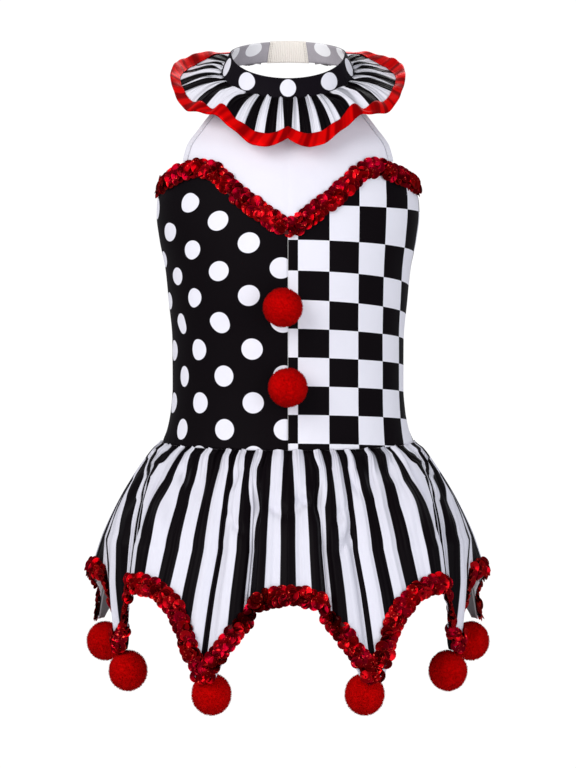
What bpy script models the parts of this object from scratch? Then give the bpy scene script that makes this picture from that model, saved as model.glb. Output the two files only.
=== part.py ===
"""Child's clown dress, filled out as if worn, with its origin at the centre of the neckband.

The front faces -Y and +Z is up. Lengths are in millimetres until they reach a mesh, which is in metres.
Angles run round the body in degrees: 0 is the centre front, 90 the side at +X, 180 the centre back.
"""

import math
from collections import namedtuple

import bmesh
import bpy
from mathutils import Vector

MM = 0.001

# ---------------------------------------------------------------- thicknesses and seams
CLOTH = 1.5
BAND_CLOTH = 2.0
RIBBON = 2.2
SEQUIN_TRIM = 2.2
SEAM_GAP = 0.3
# The braid lies this far off the cloth under it, and the yoke hangs this far under the neckband.
TRIM_LIFT = 0.4
BAND_SEAM_GAP = 1.0

# Small steps along the forms, for their normals.
ANGLE_STEP = 0.5
LEVEL_STEP = 0.5
PAIR_STEP = 0.06
SHARE_STEP = 0.05
SHARP_EDGE = 40

# ---------------------------------------------------------------- neckband and ruffle
BAND_TOP = dict(half_width=45.4, front=42.0, back=40.0, side=13.6, front_drop=25.6, back_rise=14.4)
BAND_BOTTOM = dict(half_width=52.6, front=48.0, back=43.0, side=-2.0, front_drop=27.0, back_rise=14.0)
CLOSURE_WIDTH = 32.0
CLOSURE_THICKNESS = 1.6
CLOSURE_OVERHANG = 0.04
CLOSURE_COLUMNS = 6
BAND_COLUMNS = 36

RUFFLE_END_ANGLE = 156
RUFFLE_PAIRS = 25
RUFFLE_STAND_OFF = 2.8
RUFFLE_DROP = 1.3
RUFFLE_ROWS = 3
RIBBON_WIDTH = 8.0
# How high each small wave stands at the band, how much of it is lost by the free edge, and how far the
# whole strip arches up between the two.
RUFFLE_GATHER = 0.9
RUFFLE_FADE = 0.6
RUFFLE_ARCH = 4.0

RuffleEdge = namedtuple("RuffleEdge", "angle out forward height cup")
# The ruffle's outer edge, a row for each crest and hollow: out is to the side, forward to the front, and
# cup is how far the strip sinks just inside its ribbon, where the ribbon turns up.
RUFFLE_EDGE = (
    RuffleEdge(0, 0, 76, -62, 0),
    RuffleEdge(11, 18, 76, -69, 0),
    RuffleEdge(17, 27, 74, -66.5, 0),
    RuffleEdge(29, 44, 68, -53, 0),
    RuffleEdge(41, 60, 60, -41, 0),
    RuffleEdge(56, 78, 42, -38, 0),
    RuffleEdge(70, 88.5, 25, -24, 2),
    RuffleEdge(90, 94, -2, -3, 6),
    RuffleEdge(102, 91.5, -22, 8, 9),
    RuffleEdge(124, 79, -47, 17.5, 7),
    RuffleEdge(138, 64, -64, 22, 2),
    RuffleEdge(156, 40, -79, 23, 0),
)
CUP_AT = 0.82

# ---------------------------------------------------------------- body
BodyRing = namedtuple("BodyRing", "level half_width front back front_drop")
# Rings from the neck to the waist seam. level is the height at the side seam, front and back are how
# far the ring reaches forward and back, and front_drop is how much lower its front hangs.
BODY_RINGS = (
    BodyRing(-2, 52.6, 48, 43, 27),
    BodyRing(-20, 63, 53, 50, 22),
    BodyRing(-40, 82, 58, 57, 17),
    BodyRing(-60, 96.5, 62, 62, 10),
    BodyRing(-78, 100.5, 66, 65, 4),
    BodyRing(-94, 101.5, 69, 66, 0),
    BodyRing(-106, 104.4, 71.5, 67, 0),
    BodyRing(-116, 104.8, 73, 68, 0),
    BodyRing(-136, 102.4, 75.5, 69, 0),
    BodyRing(-160, 97.6, 76.5, 69, 0),
    BodyRing(-184, 95.2, 75.5, 68, 0),
    BodyRing(-216, 92.2, 72, 67, 0),
    BodyRing(-254, 92, 70.5, 68, 1.5),
    BodyRing(-272, 93.4, 71.5, 70, 3),
    BodyRing(-286, 96, 73, 72, 4.5),
    BodyRing(-297, 100, 76, 74, 6),
)
WAIST_LEVEL = -297
SIDE_ANGLE = 90
BACK_ANGLE = 180
BODICE_ROWS = 7

YokeEdge = namedtuple("YokeEdge", "level half_angle")
# How far round the body the yoke reaches on each side, from the neckband down.
YOKE_EDGES = (
    YokeEdge(-2, 57),
    YokeEdge(-20, 56.5),
    YokeEdge(-40, 53),
    YokeEdge(-60, 52),
    YokeEdge(-78, 51.8),
    YokeEdge(-94, 51.5),
    YokeEdge(-140, 51.5),
)
YOKE_HALF_COLUMNS = 7
UNDERARM_COLUMNS = 5
YOKE_ROWS = 7
BINDING_WIDTH = 5.0
BINDING_THICKNESS = 2.2
BINDING_END_GAP = 1.5

Neckline = namedtuple("Neckline", "angle trim_top seam trim_bottom")
# The sweetheart neckline from the centre front to the side seam, as levels on the body.
NECKLINE = (
    Neckline(0, -123, -131, -138.8),
    Neckline(7, -115.5, -124.5, -133.5),
    Neckline(14, -104.5, -114.7, -125),
    Neckline(22, -94.5, -104, -114),
    Neckline(30, -80.5, -91.5, -102.5),
    Neckline(36, -74, -84, -93.7),
    Neckline(43, -71.5, -80.5, -89),
    Neckline(52, -75, -83.5, -92),
    Neckline(62, -79.5, -88, -96),
    Neckline(75, -84, -91, -98.2),
    Neckline(90, -86.4, -92.5, -98.7),
)
BACK_NECK_LEVEL = -165

# ---------------------------------------------------------------- skirt
SkirtRing = namedtuple("SkirtRing", "level half_width front back")
SKIRT_RINGS = (
    SkirtRing(-297, 100, 76, 74),
    SkirtRing(-302, 106, 82, 80),
    SkirtRing(-313, 115, 91, 89),
    SkirtRing(-326, 124, 100, 98),
    SkirtRing(-338, 131, 107, 106),
    SkirtRing(-357, 140, 118, 116),
    SkirtRing(-372, 146, 123, 123),
    SkirtRing(-390, 152, 128, 129),
    SkirtRing(-406, 157, 132, 134),
    SkirtRing(-450, 165, 137, 141),
    SkirtRing(-480, 168, 139, 144),
)
SKIRT_FRONT_DROP = 6
HIP_LEVEL = -372
TIP_LEVEL = -460

PAIRS_TO_SIDE = 11
GATHERED_PAIR = 12.5
COLUMNS_PER_PAIR = 4
SKIRT_ROWS = 5
# Rows lie closer together by the waist, where the skirt turns out fastest.
ROW_SPREAD = 1.25
GATHER_DEPTH = 1.8
GATHER_LENGTH = 34
# The large folds start slowly below the waist.
FOLD_START = 1.3

Fold = namedtuple("Fold", "pair waist hip tip hip_push tip_push")
# Crests and hollows of the skirt's front from the centre to the side seam. pair counts black and white
# stripe pairs along the flat cloth, waist, hip and tip are the angles where that place lies at those
# levels, and the pushes are how far it stands out of (or sinks into) the plain ring.
FOLDS = (
    Fold(0, 0, 0, 0, 2, 2),
    Fold(0.5, 4.4, 4, 4.4, -1.5, -1.5),
    Fold(1, 8.7, 8, 8.6, 2, 2),
    Fold(1.5, 12.1, 10.6, 11.6, -6, -5),
    Fold(2, 15.5, 13.3, 14.6, 2, 2),
    Fold(2.5, 19.1, 16.9, 18.4, 2.5, 2),
    Fold(3, 22.8, 20.3, 22, -4, -1),
    Fold(3.5, 26.7, 23.6, 25.5, 2, 3),
    Fold(4, 30.6, 27.2, 29, 2, 3),
    Fold(5, 40.7, 35, 36.5, 7, 7),
    Fold(6, 50.2, 43, 44, 15, 2),
    Fold(6.4, 53.8, 47.2, 46.4, 13, 0),
    Fold(7.15, 61, 52.5, 51.8, -7, -3),
    Fold(7.6, 66, 55.5, 57.5, -3, -19),
    Fold(8, 71, 59.5, 61, 4, -26),
    Fold(8.5, 75, 65, 65.3, 5, -19),
    Fold(9, 79, 71, 72, 4, -34),
    Fold(10, 85, 81, 80.5, 0, -32),
    Fold(11, 90, 90, 90, 0, 0),
)
# The back falls in even soft folds, this deep and this many from a side seam to the centre back.
BACK_FOLD_PUSH = 3.5
BACK_FOLDS = 4.75

HemPlace = namedtuple("HemPlace", "pair top bottom")
# Arches and tips of the hem in turn, from the centre front to the centre back: the levels of the trim's
# upper and lower edges there.
HEM = (
    HemPlace(0, -398.5, -411),
    HemPlace(3, -453, -472),
    HemPlace(6, -393, -406),
    HemPlace(8.5, -440, -459),
    HemPlace(11, -390.5, -404.5),
    HemPlace(13.7, -428, -446),
    HemPlace(16.4, -388, -402),
    HemPlace(19.2, -427, -446),
    HemPlace(22, -388, -402),
)
ARCH_POWER = 2.3
# The trim's lower edge is level over the last part of the way to a tip.
LEVEL_TIP_START = 0.86
TRIM_OVERHANG = 1.5

# ---------------------------------------------------------------- pompoms
POMPOM_RADIUS = 15.2
POMPOM_CORE = 12.4
LOCK_TAPER = 0.62
FRONT_POMPOMS = (
    dict(name="pompom_front_upper", x=-3.5, level=-191.5),
    dict(name="pompom_front_lower", x=0, level=-253.0),
)
FRONT_POMPOM_FLATNESS = 0.88
HemPompom = namedtuple("HemPompom", "tip inside below")
# Where a pompom's middle hangs from each tip of the hem: how far inside its cloth and below its end.
HEM_POMPOMS = (
    HemPompom(1, 14.2, 9),
    HemPompom(3, 9, 14),
    HemPompom(5, 5.5, 15.4),
    HemPompom(7, 5.5, 15.4),
)

Colour = namedtuple("Colour", "rgb roughness")
BLACK_DOTTED = Colour((0.03, 0.03, 0.035), 0.5)
CHECKED = Colour((0.5, 0.5, 0.52), 0.5)
STRIPED = Colour((0.35, 0.35, 0.37), 0.45)
WHITE_CLOTH = Colour((0.88, 0.88, 0.92), 0.55)
RED_SATIN = Colour((0.72, 0.01, 0.01), 0.3)
RED_SEQUIN = Colour((0.5, 0.005, 0.01), 0.25)
RED_PILE = Colour((0.6, 0.0, 0.0), 0.9)
BEIGE_TAPE = Colour((0.78, 0.7, 0.62), 0.6)


# ---------------------------------------------------------------- helpers
def smooth(rows, at, column):
    """A column of a table at a place along its first column, by a smooth curve through the rows."""
    keys = [row[0] for row in rows]
    values = [getattr(row, column) for row in rows]
    if keys[0] > keys[-1]:
        keys = [-key for key in keys]
        at = -at
    at = min(max(at, keys[0]), keys[-1])
    spans = range(len(keys) - 1)
    rates = [(values[n + 1] - values[n]) / (keys[n + 1] - keys[n]) for n in spans]
    slopes = [0.0] + [slope_between(*pair) for pair in zip(rates, rates[1:])] + [rates[-1]]
    i = max(n for n in spans if keys[n] <= at)
    step = keys[i + 1] - keys[i]
    f = (at - keys[i]) / step
    start = slopes[i] * step
    end = slopes[i + 1] * step
    rise = values[i + 1] - values[i]
    return values[i] + f * (start + f * (3 * rise - 2 * start - end + f * (start + end - 2 * rise)))


def slope_between(before, after):
    """The curve's slope where two rates of change meet: level at a crest, so that it never overshoots."""
    if before * after <= 0:
        return 0.0
    return 2 * before * after / (before + after)


def blend(a, b, f):
    return a + (b - a) * f


def clamp(f):
    return min(max(f, 0.0), 1.0)


def ring_point(angle, half_width, front, back, side, front_drop=0.0, back_rise=0.0):
    """A place on a ring round the body whose front and back reach and hang differently."""
    s, c = math.sin(math.radians(angle)), math.cos(math.radians(angle))
    reach = front if c > 0 else back
    height = side - front_drop * max(c, 0) + back_rise * max(-c, 0)
    return Vector((half_width * s, -reach * c, height))


def outward(form, u, v, du, dv):
    """The unit normal of form(u, v), where u runs anticlockwise round the body and v downwards."""
    along = form(u + du, v) - form(u - du, v)
    down = form(u, v + dv) - form(u, v - dv)
    return down.cross(along).normalized()


def collection(name):
    made = bpy.data.collections.new(name)
    bpy.context.scene.collection.children.link(made)
    return made


def material(name, colour):
    made = bpy.data.materials.new(name)
    made.use_nodes = True
    made.diffuse_color = (*colour.rgb, 1)
    shader = made.node_tree.nodes["Principled BSDF"]
    shader.inputs["Base Color"].default_value = (*colour.rgb, 1)
    shader.inputs["Roughness"].default_value = colour.roughness
    shader.inputs["Metallic"].default_value = 0.0
    return made


def add_object(name, mesh, colour):
    mesh.materials.append(material(name, colour))
    made = bpy.data.objects.new(name, mesh)
    COSTUME.objects.link(made)
    return made


def wall(name, grid, colour, low, high):
    """A cloth wall from a grid of (point, normal) rows, from the top down and anticlockwise round.

    It fills the space from low to high along the normals. Both skins are split along the same
    diagonals, so that walls made from one grid stay parallel.
    """
    rows, columns = len(grid), len(grid[0])
    shape = bmesh.new()
    skins = []
    for offset in (low, high):
        skin = [[shape.verts.new((p + n * offset) * MM) for p, n in row] for row in grid]
        skins.append(skin)
    inner, outer = skins
    for r in range(rows - 1):
        for c in range(columns - 1):
            shape.faces.new((outer[r][c], outer[r + 1][c], outer[r + 1][c + 1], outer[r][c + 1]))
            shape.faces.new((inner[r][c], inner[r][c + 1], inner[r + 1][c + 1], inner[r + 1][c]))
    for r in range(rows - 1):
        for c, flip in ((0, False), (columns - 1, True)):
            rim = [outer[r][c], inner[r][c], inner[r + 1][c], outer[r + 1][c]]
            shape.faces.new(rim[::-1] if flip else rim)
    for c in range(columns - 1):
        for r, flip in ((0, True), (rows - 1, False)):
            rim = [outer[r][c], inner[r][c], inner[r][c + 1], outer[r][c + 1]]
            shape.faces.new(rim[::-1] if flip else rim)
    bmesh.ops.triangulate(shape, faces=shape.faces[:], quad_method="FIXED")
    mesh = bpy.data.meshes.new(name)
    shape.to_mesh(mesh)
    shape.free()
    mesh.shade_smooth()
    mesh.set_sharp_from_angle(angle=math.radians(SHARP_EDGE))
    return add_object(name, mesh, colour)


def steps(start, end, count):
    return [blend(start, end, n / count) for n in range(count + 1)]


def arc_angle(form, angle, v, length):
    """The angle that spans a length of cloth at a place on a form."""
    span = (form(angle + ANGLE_STEP, v) - form(angle - ANGLE_STEP, v)).length
    return length / span * 2 * ANGLE_STEP


# ---------------------------------------------------------------- body form
def body(angle, level):
    """The middle of the cloth on the body, from the neckband to the waist seam."""
    return ring_point(
        angle,
        smooth(BODY_RINGS, level, "half_width"),
        smooth(BODY_RINGS, level, "front"),
        smooth(BODY_RINGS, level, "back"),
        level,
        smooth(BODY_RINGS, level, "front_drop"),
    )


def body_place(angle, level):
    """A point of the body form, with its outward normal."""
    return body(angle, level), outward(body, angle, level, ANGLE_STEP, -LEVEL_STEP)


def neckline(angle, column):
    """A level of the sweetheart neckline, or of the bodice's plain back edge past the side seams."""
    angle = abs(angle)
    if angle <= SIDE_ANGLE:
        return smooth(NECKLINE, angle, column)
    side = getattr(NECKLINE[-1], column)
    scoop = math.sin(math.radians(angle - SIDE_ANGLE)) ** 2
    return side + (BACK_NECK_LEVEL - NECKLINE[-1].seam) * scoop


def yoke_edge(level):
    return smooth(YOKE_EDGES, level, "half_angle")


# ---------------------------------------------------------------- neckband
def band(angle, down):
    """The middle of the neckband's cloth: down is 0 at its top edge and 1 at its lower edge."""
    top = ring_point(angle, **BAND_TOP)
    bottom = ring_point(angle, **BAND_BOTTOM)
    return top.lerp(bottom, down)


def band_place(angle, down):
    return band(angle, down), outward(band, angle, down, ANGLE_STEP, SHARE_STEP)


def make_neckband():
    """The dotted band, and the ribbed tape that closes it at the back."""
    half_tape = arc_angle(band, BACK_ANGLE, 0.5, CLOSURE_WIDTH / 2)
    gap = arc_angle(band, BACK_ANGLE, 0.5, SEAM_GAP)
    end = BACK_ANGLE - half_tape - gap
    rows = [[band_place(angle, down) for angle in steps(-end, end, BAND_COLUMNS)] for down in (0, 0.5, 1)]
    wall("neck_band", rows, BLACK_DOTTED, -BAND_CLOTH / 2, BAND_CLOTH / 2)
    tape = steps(BACK_ANGLE - half_tape, BACK_ANGLE + half_tape, CLOSURE_COLUMNS)
    ends = steps(-CLOSURE_OVERHANG, 1 + CLOSURE_OVERHANG, 2)
    rows = [[band_place(angle, down) for angle in tape] for down in ends]
    wall("neck_closure", rows, BEIGE_TAPE, -CLOSURE_THICKNESS / 2, CLOSURE_THICKNESS / 2)


# ---------------------------------------------------------------- ruffle
def ruffle(angle, out):
    """The middle of the ruffle's cloth: out is 0 where it is gathered to the band, 1 at its free edge."""
    side = 1 if angle >= 0 else -1
    seam, normal = band_place(angle, 1)
    inner = seam + normal * RUFFLE_STAND_OFF + Vector((0, 0, -RUFFLE_DROP))
    edge = Vector(
        (
            side * smooth(RUFFLE_EDGE, abs(angle), "out"),
            -smooth(RUFFLE_EDGE, abs(angle), "forward"),
            smooth(RUFFLE_EDGE, abs(angle), "height"),
        )
    )
    toward_cup = clamp(out / CUP_AT)
    sunk = toward_cup**2 * (3 - 2 * toward_cup) * min(1, (1 - out) / (1 - CUP_AT))
    arch = RUFFLE_ARCH * math.sin(math.pi * out) - smooth(RUFFLE_EDGE, abs(angle), "cup") * sunk
    pair = angle / RUFFLE_END_ANGLE * RUFFLE_PAIRS / 2
    gather = RUFFLE_GATHER * math.cos(2 * math.pi * pair) * (1 - RUFFLE_FADE * out)
    return inner.lerp(edge, out) + Vector((0, 0, arch + gather))


def ruffle_place(angle, out):
    return ruffle(angle, out), outward(ruffle, angle, out, ANGLE_STEP, SHARE_STEP)


def make_ruffle():
    """The gathered striped strip, and the ribbon that binds its outer edge."""
    angles = steps(-RUFFLE_END_ANGLE, RUFFLE_END_ANGLE, RUFFLE_PAIRS * COLUMNS_PER_PAIR)
    length = (ruffle(0, 1) - ruffle(0, 0)).length
    cloth_end = 1 - RIBBON_WIDTH / length
    ribbon_start = cloth_end + SEAM_GAP / length
    grid = [[ruffle_place(angle, out) for angle in angles] for out in steps(0, cloth_end, RUFFLE_ROWS)]
    wall("ruffle", grid, STRIPED, -CLOTH / 2, CLOTH / 2)
    grid = [[ruffle_place(angle, out) for angle in angles] for out in (ribbon_start, 1)]
    wall("ruffle_binding", grid, RED_SATIN, -RIBBON / 2, RIBBON / 2)


# ---------------------------------------------------------------- yoke
def quarter_angles():
    """Where the columns of a bodice panel stand, from the centre to the side, with the yoke's first."""
    foot = YOKE_EDGES[-1].half_angle
    return steps(0, foot, YOKE_HALF_COLUMNS) + steps(foot, SIDE_ANGLE, UNDERARM_COLUMNS)[1:]


def make_yoke():
    """The white halter piece, and the narrow bindings along its two armhole edges."""
    top = BODY_RINGS[0].level - BAND_SEAM_GAP
    foot = YOKE_EDGES[-1].half_angle
    half = quarter_angles()[: YOKE_HALF_COLUMNS + 1]
    foot_angles = [-angle for angle in half[:0:-1]] + half
    grid = []
    for down in steps(0, 1, YOKE_ROWS):
        levels = [blend(top, neckline(angle, "trim_top"), down) for angle in foot_angles]
        angles = [angle / foot * yoke_edge(level) for angle, level in zip(foot_angles, levels)]
        grid.append([body_place(angle, level) for angle, level in zip(angles, levels)])
    grid.append([body_place(angle, neckline(angle, "seam") + SEAM_GAP / 2) for angle in foot_angles])
    wall("yoke_front", grid, WHITE_CLOTH, -CLOTH / 2, CLOTH / 2)
    for name, side in (("armhole_binding_left", -1), ("armhole_binding_right", 1)):
        make_armhole_binding(name, side, top)


def make_armhole_binding(name, side, top):
    foot = neckline(YOKE_EDGES[-1].half_angle, "trim_top")
    grid = []
    for level in steps(top - BINDING_END_GAP, foot + BINDING_END_GAP, YOKE_ROWS):
        edge = yoke_edge(level)
        near = edge + arc_angle(body, edge, level, SEAM_GAP)
        far = near + arc_angle(body, edge, level, BINDING_WIDTH)
        row = [body_place(side * near, level), body_place(side * far, level)]
        grid.append(row if side > 0 else row[::-1])
    wall(name, grid, WHITE_CLOTH, -BINDING_THICKNESS / 2, BINDING_THICKNESS / 2)


# ---------------------------------------------------------------- bodice
def make_bodice_panel(name, side, in_front, colour):
    """One of the four panels, from its top edge to the waist seam. side is 1 at +X and -1 at -X."""
    gap = arc_angle(body, SIDE_ANGLE / 2, WAIST_LEVEL, SEAM_GAP / 2)
    angles = quarter_angles()
    angles[0] += gap
    angles[-1] -= gap
    if not in_front:
        angles = [BACK_ANGLE - angle for angle in angles]
    angles = sorted(side * angle for angle in angles)
    seam = [neckline(angle, "seam") - SEAM_GAP / 2 for angle in angles]
    trim_foot = [neckline(angle, "trim_bottom") for angle in angles]
    grid = [[body_place(angle, level) for angle, level in zip(angles, seam)]]
    for down in steps(0, 1, BODICE_ROWS):
        levels = [blend(level, WAIST_LEVEL, down) for level in trim_foot]
        grid.append([body_place(angle, level) for angle, level in zip(angles, levels)])
    wall(name, grid, colour, -CLOTH / 2, CLOTH / 2)


def make_bodice():
    make_bodice_panel("bodice_front_dots", -1, True, BLACK_DOTTED)
    make_bodice_panel("bodice_front_check", 1, True, CHECKED)
    make_bodice_panel("bodice_back_check", 1, False, CHECKED)
    make_bodice_panel("bodice_back_dots", -1, False, BLACK_DOTTED)


def make_neckline_trim():
    """The sequin braid over the sweetheart seam, made from the panels' own points, moved out."""
    half = quarter_angles()
    angles = [-angle for angle in half[:0:-1]] + half
    grid = []
    for column in ("trim_top", "seam", "trim_bottom"):
        grid.append([body_place(angle, neckline(angle, column)) for angle in angles])
    low = CLOTH / 2 + TRIM_LIFT
    wall("neckline_trim", grid, RED_SEQUIN, low, low + SEQUIN_TRIM)


# ---------------------------------------------------------------- skirt
def skirt_angle_and_push(pair, level):
    """Where a place along the flat cloth lies at a level, and how far it stands out of the plain ring."""
    side = 1 if pair >= 0 else -1
    pair = abs(pair)
    to_hip = clamp((level - WAIST_LEVEL) / (HIP_LEVEL - WAIST_LEVEL))
    to_tip = clamp((level - HIP_LEVEL) / (TIP_LEVEL - HIP_LEVEL))
    if pair <= PAIRS_TO_SIDE:
        waist, hip, tip, hip_push, tip_push = (smooth(FOLDS, pair, c) for c in Fold._fields[1:])
    else:
        back = pair - PAIRS_TO_SIDE
        waist = hip = tip = SIDE_ANGLE * (1 + back / PAIRS_TO_SIDE)
        hip_push = tip_push = BACK_FOLD_PUSH * math.sin(2 * math.pi * BACK_FOLDS * back / PAIRS_TO_SIDE)
    angle = blend(blend(waist, hip, to_hip), tip, to_tip)
    push = blend(hip_push * to_hip**FOLD_START, tip_push, to_tip)
    return side * angle, push


def plain_skirt(angle, level):
    return ring_point(
        angle,
        smooth(SKIRT_RINGS, level, "half_width"),
        smooth(SKIRT_RINGS, level, "front"),
        smooth(SKIRT_RINGS, level, "back"),
        level,
        SKIRT_FRONT_DROP,
    )


def skirt(pair, level):
    """The middle of the skirt's cloth: pair counts stripe pairs along the flat cloth."""
    angle, push = skirt_angle_and_push(pair, level)
    gathered = clamp(1 - (WAIST_LEVEL - level) / GATHER_LENGTH)
    push -= GATHER_DEPTH * math.cos(2 * math.pi * pair) * gathered
    point = plain_skirt(angle, level)
    return point + level_out(point) * push


def level_out(point):
    """The level direction away from the body's middle."""
    return Vector((point.x, point.y, 0)).normalized()


def skirt_place(pair, level):
    return skirt(pair, level), outward(skirt, pair, level, PAIR_STEP, -LEVEL_STEP)


def hem_level(pair, column):
    """The level of the hem trim's upper or lower edge at a place along the flat cloth."""
    pair = abs(pair)
    i = max(n for n in range(len(HEM) - 1) if HEM[n].pair <= pair)
    arch, tip = (i, i + 1) if i % 2 == 0 else (i + 1, i)
    x = (pair - HEM[arch].pair) / (HEM[tip].pair - HEM[arch].pair)
    if column == "bottom":
        x = clamp(x / LEVEL_TIP_START)
    return blend(getattr(HEM[arch], column), getattr(HEM[tip], column), x**ARCH_POWER)


def from_centre_front(pair):
    """The same place counted the short way round from the centre front, minus on the -X side."""
    whole_skirt = 4 * PAIRS_TO_SIDE
    return (pair + whole_skirt / 2) % whole_skirt - whole_skirt / 2


def make_skirt_panel(name, trim_name, start, end):
    """Half of the skirt, and the sequin trim on its hem, made from its points, moved out."""
    count = int((end - start) * COLUMNS_PER_PAIR)
    gap = SEAM_GAP / 2 / GATHERED_PAIR
    pairs = [from_centre_front(pair) for pair in steps(start + gap, end - gap, count)]
    top = WAIST_LEVEL - SEAM_GAP
    waist = [skirt(pair, top) for pair in pairs]
    grid = [[(point, level_out(point)) for point in waist]]
    for down in steps(0, 1, SKIRT_ROWS)[1:]:
        levels = [blend(top, hem_level(pair, "top"), down**ROW_SPREAD) for pair in pairs]
        grid.append([skirt_place(pair, level) for pair, level in zip(pairs, levels)])
    grid.append([skirt_place(pair, hem_level(pair, "bottom") + TRIM_OVERHANG) for pair in pairs])
    wall(name, grid, STRIPED, -CLOTH / 2, CLOTH / 2)
    trim = grid[-2:] + [[skirt_place(pair, hem_level(pair, "bottom")) for pair in pairs]]
    low = CLOTH / 2 + TRIM_LIFT
    wall(trim_name, trim, RED_SEQUIN, low, low + SEQUIN_TRIM)


def make_skirt():
    make_skirt_panel("skirt_front", "hem_trim_front", -PAIRS_TO_SIDE, PAIRS_TO_SIDE)
    make_skirt_panel("skirt_back", "hem_trim_back", PAIRS_TO_SIDE, 3 * PAIRS_TO_SIDE)


# ---------------------------------------------------------------- pompoms
def make_pompom(name, centre, flatness, facing):
    """A ball of 24 four-sided locks whose roots are fused, flattened along the way it faces."""
    shape = bmesh.new()
    bmesh.ops.create_cube(shape, size=2)
    bmesh.ops.subdivide_edges(shape, edges=shape.edges[:], cuts=1, use_grid_fill=True)
    for vert in shape.verts:
        vert.co = vert.co.normalized() * POMPOM_CORE
    for face in shape.faces[:]:
        root = face.calc_center_median()
        lock = bmesh.ops.extrude_discrete_faces(shape, faces=[face])["faces"][0]
        tip = root.normalized() * POMPOM_RADIUS
        for vert in lock.verts:
            vert.co = tip + (vert.co - root) * LOCK_TAPER
    turn = facing.to_track_quat("Y", "Z").to_matrix()
    for vert in shape.verts:
        vert.co.y *= flatness
        vert.co = turn @ vert.co * MM
    mesh = bpy.data.meshes.new(name)
    shape.to_mesh(mesh)
    shape.free()
    made = add_object(name, mesh, RED_PILE)
    made.location = centre * MM
    return made


def make_front_pompoms():
    for row in FRONT_POMPOMS:
        angle = math.degrees(math.asin(row["x"] / smooth(BODY_RINGS, row["level"], "half_width")))
        point, normal = body_place(angle, row["level"])
        reach = CLOTH / 2 + SEAM_GAP + POMPOM_RADIUS * FRONT_POMPOM_FLATNESS
        make_pompom(row["name"], point + normal * reach, FRONT_POMPOM_FLATNESS, normal)


def make_hem_pompoms():
    """One under or behind each tip of the hem, sewn on by its top."""
    number = 0
    for row in HEM_POMPOMS:
        tip = HEM[row.tip]
        for side in (1, -1):
            number += 1
            point, normal = skirt_place(side * tip.pair, tip.bottom)
            inward = -level_out(normal)
            centre = point + inward * row.inside + Vector((0, 0, -row.below))
            make_pompom(f"pompom_hem_{number}", centre, 1.0, inward)


# ---------------------------------------------------------------- build
for old in list(bpy.data.objects):
    bpy.data.objects.remove(old)
COSTUME = collection("clown_costume")
make_neckband()
make_ruffle()
make_yoke()
make_bodice()
make_neckline_trim()
make_skirt()
make_front_pompoms()
make_hem_pompoms()
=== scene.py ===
"""Child's clown dress, dressed with its cloth, ribbon, sequins and pompoms.

The front faces -Y. Lengths are in millimetres until they reach a mesh, which is in metres. Angles run
round the body in degrees: 0 is the centre front, 90 the side at +X, 180 the centre back.
"""

import math
from collections import namedtuple

import bpy
import numpy as np
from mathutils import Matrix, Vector


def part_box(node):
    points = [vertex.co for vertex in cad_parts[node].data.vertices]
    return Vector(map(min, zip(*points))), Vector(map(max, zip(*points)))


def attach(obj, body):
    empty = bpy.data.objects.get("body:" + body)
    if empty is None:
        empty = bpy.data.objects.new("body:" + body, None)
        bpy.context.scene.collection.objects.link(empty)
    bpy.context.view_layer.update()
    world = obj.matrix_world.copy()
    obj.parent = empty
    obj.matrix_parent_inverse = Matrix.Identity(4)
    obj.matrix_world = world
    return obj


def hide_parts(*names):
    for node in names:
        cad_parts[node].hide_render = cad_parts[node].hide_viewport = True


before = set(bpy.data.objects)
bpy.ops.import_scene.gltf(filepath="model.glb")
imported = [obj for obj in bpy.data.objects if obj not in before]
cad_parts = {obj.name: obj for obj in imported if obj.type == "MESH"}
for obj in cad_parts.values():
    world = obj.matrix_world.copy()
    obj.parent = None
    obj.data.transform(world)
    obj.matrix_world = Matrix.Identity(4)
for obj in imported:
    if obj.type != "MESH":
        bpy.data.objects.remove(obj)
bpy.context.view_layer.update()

# ---------------------------------------------------------------- the view
# The dress hangs in the air, as a wearer's neck would hold it, over a plain pale floor. The camera
# looks level at its hips, and soft light comes from the upper left, the front and all round.
MM = 0.001
PIXEL = 0.8 * MM
PICTURE_ROWS = 768
NECK_ROW = 70
HORIZON_ROW = 400
CAMERA_DISTANCE = 2.1
SENSOR = 36
CAMERA_LEVEL = (NECK_ROW - HORIZON_ROW) * PIXEL
FLOOR_LEVEL = -0.9
FLOOR_RADIUS = 2.4
FLOOR_COLOUR = (0.74, 0.74, 0.75)
FLOOR_ROUGHNESS = 0.9
FLOOR_SIDES = 96
SKY_COLOUR = (0.93, 0.95, 1.0)
SKY_LIGHT = 0.42
SKY_SHOWN = 1.05


def table(columns, *rows):
    """Rows of values, each with a name for every column."""
    row_kind = namedtuple("row_kind", columns)
    return [row_kind(*row) for row in rows]


LIGHTS = table(
    "name place size watts colour",
    ("key_light", (-1.15, -1.35, 0.55), 1.5, 23.5, (1.0, 0.98, 0.97)),
    ("fill_light", (1.05, -1.6, -0.2), 1.4, 13.5, (0.96, 0.97, 1.0)),
    ("back_light", (0.3, 1.5, 0.9), 1.2, 14.0, (1.0, 1.0, 1.0)),
)


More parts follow.
